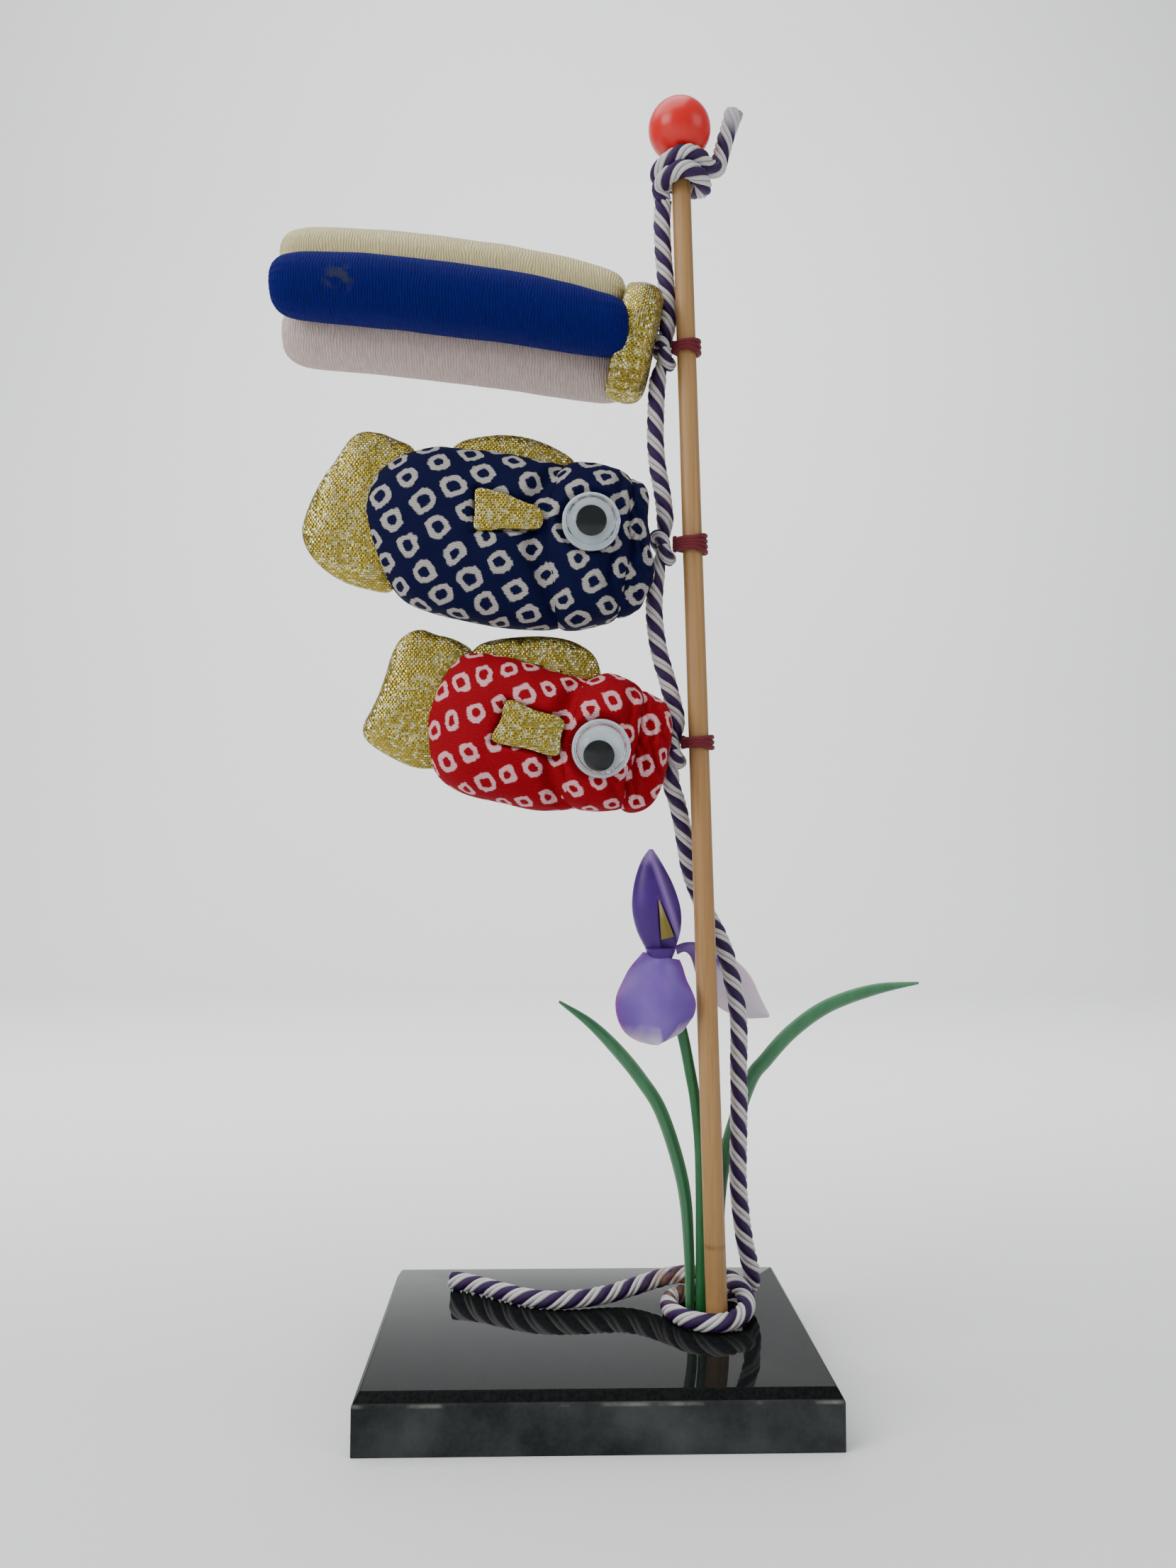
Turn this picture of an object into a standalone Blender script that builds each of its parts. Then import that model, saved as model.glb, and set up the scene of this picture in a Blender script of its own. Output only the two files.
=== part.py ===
"""Desk-top carp streamer: a bamboo pole on a stone slab, with a stuffed windsock, two stuffed
cloth carp, a knotted decorative cord and a plastic iris.

The origin is the middle of the slab's underside. +X is to the right seen from the front,
+Y goes away from the front, +Z is up. Lengths are written in millimetres and scaled by MM.
"""
import math

import bmesh
import bpy
from mathutils import Matrix, Vector

MM = 0.001

# Stone slab: a rectangle with its top edges ground to a slope.
SLAB_WIDTH = 75.0
SLAB_DEPTH = 60.0
SLAB_SIDE_HEIGHT = 7.5
SLAB_SLOPE_HEIGHT = 1.9
SLAB_SLOPE_INSET = 1.1
SLAB_TOP = SLAB_SIDE_HEIGHT + SLAB_SLOPE_HEIGHT

# Bamboo pole: it tapers upwards and leans a little to the left.
POLE_FOOT_X = 21.5
POLE_FOOT_Y = -2.5
POLE_FOOT_DIAMETER = 3.8
POLE_TOP_DIAMETER = 3.4
POLE_RISE = 214.0
POLE_LEAN = math.radians(1.68)
POLE_HOLE_DEPTH = 6.4
POLE_SIDES = 16

BALL_DIAMETER = 11.4
BALL_HOLE_DEPTH = 6.0

# Gap kept between two pieces that touch on the real thing.
FIT_GAP = 0.3

# Decorative cord. Its route is one smooth curve through these points, cut at the knots.
CORD_DIAMETER = 3.2
CORD_SIDES_STEP = 2
TOP_KNOT_HEIGHT = 6.6
TOP_KNOT_WALL = 3.4
TOP_TAIL = [(22.8, -1.2, 215.4), (23.0, -0.9, 219.2), (24.0, -0.9, 223.2), (25.3, -1.0, 226.8)]
CORD_RUNS = {
    "cord_run_top": [
        (12.3, -1.7, 210.2), (12.1, -1.3, 206.2), (12.4, -0.9, 200.3), (13.0, -0.7, 194.0),
        (13.2, -0.8, 189.8), (13.1, -0.9, 187.0)],
    "cord_run_upper": [
        (11.4, -0.7, 177.2), (11.1, -0.3, 172.5), (11.0, 0.0, 166.4), (11.4, 0.0, 161.2),
        (12.2, -0.2, 156.5), (12.7, -0.6, 151.2)],
    "cord_run_middle": [
        (11.2, -0.2, 141.3), (10.8, 0.1, 136.5), (10.9, 0.0, 132.5), (11.7, 0.0, 127.2),
        (13.1, -0.2, 122.1), (14.2, -0.5, 117.6), (14.7, -0.7, 114.6)],
    "cord_run_lower": [
        (13.7, -0.6, 104.0), (14.8, 0.0, 100.4), (15.9, 0.9, 96.0), (16.6, 1.5, 91.9),
        (17.4, 2.0, 87.9), (18.8, 2.3, 84.0), (20.6, 2.4, 80.0), (22.4, 2.4, 76.6),
        (23.9, 2.4, 72.9), (24.9, 2.4, 68.9), (25.6, 2.3, 65.4), (26.1, 2.2, 61.6),
        (26.2, 2.2, 57.6), (26.1, 2.2, 53.0), (26.2, 2.3, 48.4), (26.1, 2.4, 41.0),
        (26.0, 2.6, 33.5), (26.4, 3.0, 28.2), (27.1, 3.5, 23.0)],
    "cord_foot": [
        (27.2, 3.6, 22.4), (28.1, 4.3, 18.4), (28.9, 5.5, 15.0), (28.4, 8.1, 12.3),
        (25.4, 10.1, 11.4), (21.3, 10.5, 11.4), (17.3, 9.2, 11.4), (14.5, 6.1, 11.4),
        (13.6, 2.3, 11.4), (14.4, -1.8, 11.4), (16.9, -5.1, 11.4), (20.5, -6.6, 11.4),
        (24.1, -5.4, 11.5), (26.5, -2.4, 12.1), (26.8, 1.2, 13.4), (25.1, 4.7, 14.7),
        (22.0, 6.9, 15.1), (18.5, 7.9, 15.1), (14.8, 9.0, 14.7), (11.0, 9.8, 13.6),
        (6.9, 9.3, 12.3), (2.5, 7.6, 11.6), (-2.2, 6.2, 11.4), (-7.3, 5.9, 11.4),
        (-12.0, 7.6, 11.4), (-16.4, 10.9, 11.4), (-20.7, 14.3, 11.4), (-25.6, 17.2, 11.4)],
}

# Ties: each streamer hangs at a knot in the cord, and thread binds that knot to the pole. A
# knot's place is how far its middle is to the left of the pole's side, then its Y and Z. The
# streamer's pivot is written from the middle of its knot.
TIES = [
    {"streamer": "windsock", "pivot": (0.7, 0.0, 0.9), "knot": (2.396, -1.0, 182.1),
     "knot_size": (3.8, 4.2, 8.4), "winding": (182.5, 3.2)},
    {"streamer": "navy", "pivot": (0.2, 0.0, 0.3), "knot": (3.415, -0.6, 146.2),
     "knot_size": (4.2, 4.2, 7.6), "winding": (146.4, 4.1)},
    {"streamer": "red", "pivot": (0.7, 0.0, 0.2), "knot": (2.663, -0.8, 109.3),
     "knot_size": (3.5, 4.2, 8.2), "winding": (110.7, 2.9)},
]
WINDING_THREAD = 0.5

# Windsock: three stuffed rolls, blue in front, held side by side by a puffed collar.
ROLL_DIAMETER = 11.9
ROLL_LINE = [
    (-70.4, 7.5, 0.30), (-69.4, 7.5, 0.62), (-67.2, 7.4, 0.82), (-62.0, 7.3, 0.94),
    (-53.0, 6.8, 1.0), (-44.0, 6.0, 1.0), (-30.0, 4.4, 1.0), (-20.0, 2.8, 0.95),
    (-13.0, 1.4, 0.86), (-10.4, 1.0, 0.72), (-9.5, 0.9, 0.42)]
# Each roll's place in the bundle, in roll diameters back and up from the tie.
ROLL_PLACES = {"windsock_roll_blue": (-0.555, 0.0), "windsock_roll_beige": (0.176, 0.735),
               "windsock_roll_white": (0.412, -0.353)}
COLLAR_SIZE = (6.0, 19.5, 20.8)
COLLAR_CENTRE = (-5.4, 0.4, 0.9)
COLLAR_TILT = math.radians(8.0)

# Carp: every outline is written from its tie, X along the fish and Z up. A pupil's place is a
# share of the room that its disc has in the dome.
CARP_PLANE = -4.6
CARP_THICKNESS = 16.0
MOUTH_THICKNESS = 9.2
TAIL_THICKNESS = 6.0
DORSAL_THICKNESS = 3.6
FIN_THICKNESS = 1.0
EYE_DIAMETER = 10.0
EYE_RECESS = 2.0
EYE_SEAT = CARP_THICKNESS / 2 - EYE_RECESS
EYE_CUP_THICKNESS = 0.8
DOME_HEIGHT = 3.5
DOME_WALL = 0.5
PUPIL_DIAMETER = 5.4
PUPIL_THICKNESS = 0.5
CARPS = {
    "navy": {
        "body": [(-52.7, 6.5), (-50.3, 10.6), (-46.4, 13.8), (-41.0, 15.4), (-36.5, 15.0),
                 (-29.3, 14.5), (-22.6, 13.2), (-17.9, 11.9), (-21.9, 5.5), (-22.5, 0.5),
                 (-21.7, -5.0), (-19.9, -10.0), (-18.4, -15.2), (-22.0, -15.7), (-29.2, -15.4),
                 (-35.9, -14.2), (-41.7, -12.8), (-46.2, -10.7), (-48.9, -7.0), (-51.1, -2.1),
                 (-52.5, 2.2)],
        "head": [(-17.2, 12.1), (-14.4, 12.6), (-10.0, 11.9), (-7.2, 10.2), (-7.5, 3.0),
                 (-7.4, -3.0), (-8.1, -8.5), (-10.0, -13.5), (-14.9, -15.2), (-17.5, -15.5),
                 (-19.0, -10.0), (-20.9, -5.0), (-21.7, 0.5), (-21.1, 5.5)],
        "mouth": [(-6.5, 10.0), (-4.5, 9.5), (-3.6, 7.0), (-3.8, 3.4), (-3.2, 0.2),
                  (-2.5, -3.5), (-1.9, -7.0), (-3.5, -9.9), (-5.5, -12.2), (-9.3, -13.4),
                  (-7.4, -8.6), (-6.7, -3.0), (-6.8, 3.0)],
        "tail": [(-54.1, 18.1), (-51.3, 18.0), (-48.2, 17.0), (-46.2, 15.0), (-50.9, 11.2),
                 (-53.5, 6.6), (-53.3, 2.2), (-51.9, -2.3), (-49.5, -7.6), (-50.0, -9.2),
                 (-56.0, -7.8), (-60.0, -5.4), (-62.6, -2.4), (-63.6, 0.8), (-62.6, 4.6),
                 (-60.8, 8.7), (-57.8, 13.3)],
        "dorsal": [(-38.2, 16.0), (-34.7, 17.3), (-29.3, 17.9), (-24.9, 17.5), (-20.3, 16.0),
                   (-16.9, 13.7), (-22.5, 13.9), (-29.3, 15.2), (-36.0, 15.7)],
        "pectoral": [(-33.0, 6.4), (-29.0, 5.8), (-22.9, 3.3), (-23.1, -0.1), (-27.7, -0.2),
                     (-33.3, -0.3)],
        "eye": (-13.6, 1.2),
        "pupil": (0.0, 0.0),
    },
    "red": {
        "body": [(-36.7, 15.9), (-31.3, 15.4), (-25.0, 13.6), (-19.7, 12.0), (-15.7, 10.9),
                 (-17.6, 9.1), (-19.6, 5.1), (-21.4, -1.5), (-21.7, -4.9), (-20.3, -9.1),
                 (-18.9, -10.5), (-24.9, -10.7), (-31.2, -9.4), (-36.4, -8.2), (-39.8, -6.7),
                 (-42.1, -4.5), (-43.2, -1.1), (-43.7, 3.6), (-43.1, 7.1), (-41.3, 11.0),
                 (-39.2, 14.0)],
        "head": [(-14.7, 11.2), (-13.6, 12.3), (-10.7, 11.7), (-7.8, 9.6), (-8.1, 3.5),
                 (-9.4, -1.6), (-11.1, -6.5), (-10.8, -10.2), (-14.2, -10.7), (-17.8, -10.4),
                 (-19.4, -8.9), (-20.8, -4.9), (-20.6, -1.7), (-18.7, 5.0), (-16.7, 9.0)],
        "mouth": [(-7.0, 9.3), (-5.3, 8.8), (-2.9, 7.3), (-1.9, 4.6), (-1.9, 1.6), (-2.5, -1.4),
                  (-3.1, -5.1), (-4.7, -8.8), (-6.9, -10.7), (-9.8, -10.5), (-10.3, -6.7),
                  (-8.7, -1.8), (-7.4, 3.4)],
        "tail": [(-45.5, 20.0), (-42.6, 19.0), (-39.1, 18.0), (-37.8, 16.6), (-39.9, 14.5),
                 (-42.1, 11.3), (-43.9, 7.3), (-44.5, 3.6), (-44.0, -1.2), (-43.2, -3.4),
                 (-46.6, -3.2), (-51.3, -0.9), (-54.4, 1.4), (-54.7, 3.6), (-52.9, 7.1),
                 (-51.3, 11.3), (-50.0, 15.7), (-48.4, 18.6)],
        "dorsal": [(-36.0, 16.5), (-34.8, 17.6), (-31.3, 18.4), (-25.0, 18.9), (-19.7, 18.3),
                   (-16.3, 16.5), (-14.6, 14.3), (-15.0, 12.4), (-19.7, 12.8), (-25.0, 14.4),
                   (-31.3, 16.2)],
        "pectoral": [(-29.7, 7.0), (-21.0, 3.6), (-22.0, -1.9), (-32.2, 0.4)],
        "eye": (-14.1, -0.9),
        "pupil": (-0.222, -0.722),
    },
}

# How the thickness of a stuffed shape is shared between the steps in from its outline.
RIM_SHARES = {2: (0.7, 0.3), 3: (0.62, 0.3, 0.08)}

# Iris: a plastic flower on a stem behind the pole, with two strap leaves.
STEM_DIAMETER = 2.0
STEM_HOLE_DEPTH = 4.0
STEM_LINE = [
    (19.3, 2.2, SLAB_TOP - STEM_HOLE_DEPTH + FIT_GAP), (19.3, 2.2, 19.6), (19.2, 1.9, 36.0),
    (18.3, 1.0, 46.0), (17.0, -0.2, 53.0), (15.7, -1.2, 59.0), (13.9, -2.2, 65.5),
    (12.3, -2.9, 70.4)]
LEAF_THICKNESS = 0.8
LEAF_FOOT_LIFT = 0.3
LEFT_LEAF = [
    (17.3, 2.4, 9.4, 1.5), (17.2, 2.6, 20.0, 1.9), (16.2, 3.4, 32.0, 2.3), (12.6, 4.0, 44.0, 2.4),
    (8.6, 4.3, 50.5, 2.4), (4.0, 4.5, 56.0, 2.3), (-0.7, 4.6, 60.5, 1.7), (-6.1, 4.7, 64.2, 0.5)]
RIGHT_LEAF = [
    (22.2, 3.2, 9.4, 1.8), (22.3, 3.4, 20.0, 2.2), (23.6, 5.6, 34.0, 2.6), (28.4, 6.6, 48.6, 2.7),
    (31.9, 6.8, 53.5, 2.7), (37.0, 7.0, 58.8, 2.7), (43.5, 7.0, 63.2, 2.6),
    (52.0, 7.0, 66.1, 2.1), (60.2, 7.0, 67.3, 0.5)]
PETAL_THICKNESS = 0.9
STANDARD_PETAL = [
    (9.9, 91.6), (11.7, 89.2), (14.0, 84.6), (15.2, 80.6), (15.2, 77.4), (14.6, 74.9),
    (8.8, 74.9), (7.4, 77.6), (6.6, 81.6), (6.9, 85.6), (8.3, 89.6)]
STANDARD_THICKNESS = 5.0
STANDARD_PLANE = -3.0
THROAT = [(11.0, 83.0), (13.9, 76.6), (11.6, 76.3)]
FALL_PETAL = [
    (8.4, 72.4), (15.1, 72.2), (16.4, 69.0), (17.7, 65.6), (16.6, 61.6), (14.2, 59.0),
    (11.2, 58.0), (7.6, 59.0), (4.8, 61.6), (3.7, 64.6), (5.2, 68.6), (6.6, 71.4)]
FALL_PLANE = -6.4
SIDE_PETAL = [
    (14.6, -0.6, 73.8, 1.6), (16.6, 1.7, 74.2, 1.8), (19.0, 5.4, 73.2, 3.4),
    (22.0, 8.0, 70.4, 7.0), (25.4, 8.8, 66.6, 8.6), (28.8, 9.0, 63.4, 6.2),
    (32.8, 9.0, 61.0, 0.6)]
CUP_DIAMETER = 4.6
CUP_HEIGHT = 2.6
CUP_CENTRE = (11.5, -3.2, 73.0)


def clear_scene():
    for scene_object in list(bpy.data.objects):
        bpy.data.objects.remove(scene_object, do_unlink=True)


def collection(name):
    group = bpy.data.collections.new(name)
    bpy.context.scene.collection.children.link(group)
    return group


def finish_material(name, colour, roughness, metallic=0.0):
    """A material with its colour, roughness and metallic value on the Principled shader."""
    material = bpy.data.materials.new(name)
    material.use_nodes = True
    shader = material.node_tree.nodes["Principled BSDF"]
    shader.inputs["Base Color"].default_value = (*colour, 1.0)
    shader.inputs["Roughness"].default_value = roughness
    shader.inputs["Metallic"].default_value = metallic
    material.diffuse_color = (*colour, 1.0)
    return material


def scaled(point):
    return tuple(value * MM for value in point)


def place(piece, group, material=None, parent=None):
    """Link a piece, give it its material and hang it on its parent without moving it."""
    group.objects.link(piece)
    if material is not None:
        piece.data.materials.append(material)
    if parent is not None:
        piece.parent = parent
    return piece


def mesh_piece(name, bmesh_data):
    mesh = bpy.data.meshes.new(name)
    bmesh.ops.recalc_face_normals(bmesh_data, faces=bmesh_data.faces)
    bmesh_data.to_mesh(mesh)
    bmesh_data.free()
    return bpy.data.objects.new(name, mesh)


def shade_round(piece):
    piece.data.shade_smooth()
    piece.data.set_sharp_from_angle(angle=math.radians(35))


def cut(piece, cutter, solver="EXACT"):
    """Take the cutter's shape out of a piece. Stuffed shapes need the manifold solver."""
    boolean = piece.modifiers.new("cut_" + cutter.name, "BOOLEAN")
    boolean.operation = "DIFFERENCE"
    boolean.solver = solver
    boolean.object = cutter


def cylinder(name, radius_foot, radius_top, length, sides):
    """A round bar along Z with its foot at its own origin."""
    data = bmesh.new()
    bmesh.ops.create_cone(data, cap_ends=True, segments=sides, radius1=radius_foot * MM,
                          radius2=radius_top * MM, depth=length * MM,
                          matrix=Matrix.Translation((0, 0, length * MM / 2)))
    return mesh_piece(name, data)


def as_cutter(piece, group, parent=None):
    """A shape that only cuts others: it is linked, but it isn't part of the object."""
    place(piece, group, parent=parent)
    piece.hide_render = True
    piece.display_type = "WIRE"
    return piece


def tube(name, points, diameter, radii=None, ring_step=CORD_SIDES_STEP):
    """A round tube along a line of points, with its ends closed."""
    curve = bpy.data.curves.new(name, "CURVE")
    curve.dimensions = "3D"
    curve.render_resolution_u = 0
    curve.bevel_depth = diameter * MM / 2
    curve.bevel_resolution = ring_step
    curve.use_fill_caps = True
    spline = curve.splines.new("POLY")
    spline.points.add(len(points) - 1)
    for index, point in enumerate(points):
        spline.points[index].co = (*scaled(point), 1.0)
        spline.points[index].radius = radii[index] if radii else 1.0
    return bpy.data.objects.new(name, curve)


def pillow(name, outline, thickness, rim):
    """A stuffed shape lying in the XZ plane: both faces swell from its outline."""
    data = bmesh.new()
    ring = [data.verts.new((x * MM, 0.0, z * MM)) for x, z in outline]
    front = data.faces.new(ring)
    data.normal_update()
    if front.normal.y > 0:
        bmesh.ops.reverse_faces(data, faces=[front])
    shares = RIM_SHARES[len(rim)]
    for width, share in zip(rim, shares):
        step = thickness / 2 * share
        bmesh.ops.inset_region(data, faces=[front], thickness=width * MM, depth=step * MM,
                               use_boundary=True, use_even_offset=False)
    mesh = bpy.data.meshes.new(name)
    data.to_mesh(mesh)
    data.free()
    piece = bpy.data.objects.new(name, mesh)
    mirror = piece.modifiers.new("both_sides", "MIRROR")
    mirror.use_axis = (False, True, False)
    mirror.use_clip = True
    mirror.merge_threshold = 0.00005
    rounding = piece.modifiers.new("stuffing", "SUBSURF")
    rounding.levels = 1
    rounding.render_levels = 1
    shade_round(piece)
    return piece


def plate(name, outline, low_y, high_y):
    """A flat piece cut to an outline in the XZ plane, from low_y to high_y."""
    data = bmesh.new()
    ring = [data.verts.new((x * MM, low_y * MM, z * MM)) for x, z in outline]
    face = data.faces.new(ring)
    swept = bmesh.ops.extrude_face_region(data, geom=[face])
    moved = [item for item in swept["geom"] if isinstance(item, bmesh.types.BMVert)]
    bmesh.ops.translate(data, verts=moved, vec=(0.0, (high_y - low_y) * MM, 0.0))
    return mesh_piece(name, data)


def ribbon(name, line, thickness):
    """A flat strip that follows points (x, y, z, width), seen broadside from the front."""
    data = bmesh.new()
    face = None
    for index, (x, y, z, width) in enumerate(line):
        before = line[max(index - 1, 0)]
        after = line[min(index + 1, len(line) - 1)]
        along = Vector((after[0] - before[0], 0.0, after[2] - before[2])).normalized()
        side = Vector((-along.z, 0.0, along.x)) * width / 2
        deep = Vector((0.0, thickness / 2, 0.0))
        centre = Vector((x, y, z))
        corners = [centre + side - deep, centre - side - deep, centre - side + deep,
                   centre + side + deep]
        if face is None:
            face = data.faces.new([data.verts.new(corner * MM) for corner in corners])
            continue
        swept = bmesh.ops.extrude_face_region(data, geom=[face])
        if index > 1:
            bmesh.ops.delete(data, geom=[face], context="FACES_ONLY")
        face = next(item for item in swept["geom"] if isinstance(item, bmesh.types.BMFace))
        for vert, corner in zip(face.verts, corners):
            vert.co = corner * MM
    return mesh_piece(name, data)


def turned(name, profile, sides):
    """A closed turned shape: profile points (radius, height) run down the outer side."""
    mesh = bpy.data.meshes.new(name)
    points = [(radius * MM, 0.0, height * MM) for radius, height in profile]
    edges = [(index, index + 1) for index in range(len(points) - 1)]
    if profile[0][0] > 0:
        edges.append((len(points) - 1, 0))
    mesh.from_pydata(points, edges, [])
    piece = bpy.data.objects.new(name, mesh)
    screw = piece.modifiers.new("turned", "SCREW")
    screw.steps = sides
    screw.render_steps = sides
    screw.use_merge_vertices = True
    screw.merge_threshold = 0.00002
    return piece


def smooth_line(points, parts=2):
    """Points on a smooth curve through the route's own points."""
    line = []
    for index in range(len(points) - 1):
        before = Vector(points[max(index - 1, 0)])
        start = Vector(points[index])
        end = Vector(points[index + 1])
        after = Vector(points[min(index + 2, len(points) - 1)])
        for part in range(parts):
            t = part / parts
            line.append(0.5 * (2 * start + (end - before) * t
                               + (2 * before - 5 * start + 4 * end - after) * t ** 2
                               + (3 * start - before - 3 * end + after) * t ** 3))
    line.append(Vector(points[-1]))
    return line


def pole_x(height):
    """The pole's axis leans: its X at a height above the ground."""
    return POLE_FOOT_X - math.tan(POLE_LEAN) * (height - SLAB_TOP)


def pole_radius(height):
    share = (height - SLAB_TOP) / POLE_RISE
    return (POLE_FOOT_DIAMETER + (POLE_TOP_DIAMETER - POLE_FOOT_DIAMETER) * share) / 2


def on_pole(piece, height):
    """Stand a piece that was made along Z on the pole's axis at a height."""
    piece.location = scaled((pole_x(height), POLE_FOOT_Y, height))
    piece.rotation_euler = (0.0, -POLE_LEAN, 0.0)
    return piece


def make_slab(parts, cutters, stone):
    data = bmesh.new()
    bmesh.ops.create_cube(data, size=1.0)
    size = (SLAB_WIDTH * MM, SLAB_DEPTH * MM, SLAB_SIDE_HEIGHT * MM)
    bmesh.ops.scale(data, vec=size, verts=data.verts)
    bmesh.ops.translate(data, vec=(0, 0, SLAB_SIDE_HEIGHT * MM / 2), verts=data.verts)
    data.normal_update()
    top = next(face for face in data.faces if face.normal.z > 0.5)
    swept = bmesh.ops.extrude_face_region(data, geom=[top])
    bmesh.ops.delete(data, geom=[top], context="FACES_ONLY")
    raised = [item for item in swept["geom"] if isinstance(item, bmesh.types.BMVert)]
    bmesh.ops.translate(data, vec=(0, 0, SLAB_SLOPE_HEIGHT * MM), verts=raised)
    shrink = (1 - 2 * SLAB_SLOPE_INSET / SLAB_WIDTH, 1 - 2 * SLAB_SLOPE_INSET / SLAB_DEPTH, 1)
    bmesh.ops.scale(data, vec=shrink, verts=raised)
    slab = place(mesh_piece("base_slab", data), parts, stone)

    hole_radius = pole_radius(SLAB_TOP - POLE_HOLE_DEPTH) + FIT_GAP
    length = 2 * POLE_HOLE_DEPTH
    pole_hole = cylinder("pole_hole", hole_radius, hole_radius, length, POLE_SIDES)
    cut(slab, as_cutter(on_pole(pole_hole, SLAB_TOP - POLE_HOLE_DEPTH), cutters))
    stem_radius = STEM_DIAMETER / 2 + FIT_GAP
    stem_hole = cylinder("stem_hole", stem_radius, stem_radius, 2 * STEM_HOLE_DEPTH, POLE_SIDES)
    stem_x, stem_y, _ = STEM_LINE[0]
    stem_hole.location = scaled((stem_x, stem_y, SLAB_TOP - STEM_HOLE_DEPTH))
    cut(slab, as_cutter(stem_hole, cutters))


def make_pole(parts, cutters, bamboo, lacquer):
    foot = SLAB_TOP - POLE_HOLE_DEPTH + FIT_GAP
    length = SLAB_TOP + POLE_RISE - foot
    pole = cylinder("pole", pole_radius(foot), POLE_TOP_DIAMETER / 2, length, POLE_SIDES)
    shade_round(pole)
    place(on_pole(pole, foot), parts, bamboo)

    data = bmesh.new()
    bmesh.ops.create_uvsphere(data, u_segments=18, v_segments=11, radius=BALL_DIAMETER * MM / 2)
    ball = mesh_piece("finial_ball", data)
    shade_round(ball)
    pole_top = SLAB_TOP + POLE_RISE
    hole_end = pole_top + FIT_GAP
    ball_centre = hole_end - BALL_HOLE_DEPTH + BALL_DIAMETER / 2
    place(on_pole(ball, ball_centre), parts, lacquer)
    radius = POLE_TOP_DIAMETER / 2 + FIT_GAP
    hole = cylinder("ball_hole", radius, radius, BALL_DIAMETER, POLE_SIDES)
    cut(ball, as_cutter(on_pole(hole, hole_end - BALL_DIAMETER), cutters))
    return ball_centre - BALL_DIAMETER / 2


def knot_middle(tie):
    beside, depth, height = tie["knot"]
    return (pole_x(height) - pole_radius(height) - beside, depth, height)


def make_cord(parts, ball_foot, cord, thread):
    """The cord's runs, the knot below the ball, the tie knots and the thread on the pole."""
    inner = pole_radius(ball_foot) + FIT_GAP
    outer = inner + TOP_KNOT_WALL
    half = TOP_KNOT_HEIGHT / 2
    soft = TOP_KNOT_WALL * 0.35
    profile = [(inner, half), (outer - soft, half), (outer, half - soft), (outer, soft - half),
               (outer - soft, -half), (inner, -half)]
    knot = turned("cord_knot_top", profile, 20)
    shade_round(knot)
    place(on_pole(knot, ball_foot - half), parts, cord)
    place(tube("cord_tail_top", smooth_line(TOP_TAIL), CORD_DIAMETER), parts, cord)
    for name, points in CORD_RUNS.items():
        parts_per_step = 1 if name == "cord_run_lower" else 2
        line = smooth_line(points, parts_per_step)
        place(tube(name, line, CORD_DIAMETER), parts, cord)
    for tie in TIES:
        data = bmesh.new()
        bmesh.ops.create_uvsphere(data, u_segments=12, v_segments=8, radius=0.5)
        bmesh.ops.scale(data, vec=scaled(tie["knot_size"]), verts=data.verts)
        knot = mesh_piece("cord_knot_" + tie["streamer"], data)
        shade_round(knot)
        knot.location = scaled(knot_middle(tie))
        place(knot, parts, cord)
        height, width = tie["winding"]
        inner = pole_radius(height) + FIT_GAP
        outer = inner + WINDING_THREAD
        profile = [(inner, width / 2), (outer, width / 2), (outer, -width / 2),
                   (inner, -width / 2)]
        winding = turned("thread_winding_" + tie["streamer"], profile, 16)
        place(on_pole(winding, height), parts, thread)


def pivot_empty(name, location, group):
    pivot = bpy.data.objects.new(name, None)
    pivot.location = scaled(location)
    group.objects.link(pivot)
    return pivot


def make_windsock(parts, pivot, cloths, lame):
    for name, (depth, rise) in ROLL_PLACES.items():
        points = [(x, depth * ROLL_DIAMETER, z + rise * ROLL_DIAMETER) for x, z, _ in ROLL_LINE]
        radii = [share for _, _, share in ROLL_LINE]
        roll = tube(name, points, ROLL_DIAMETER, radii, 5)
        place(roll, parts, cloths[name], pivot)
    data = bmesh.new()
    bmesh.ops.create_uvsphere(data, u_segments=18, v_segments=10, radius=0.5)
    bmesh.ops.scale(data, vec=scaled(COLLAR_SIZE), verts=data.verts)
    collar = mesh_piece("windsock_collar", data)
    shade_round(collar)
    collar.location = scaled(COLLAR_CENTRE)
    collar.rotation_euler = (0.0, COLLAR_TILT, 0.0)
    place(collar, parts, lame, pivot)


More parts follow.
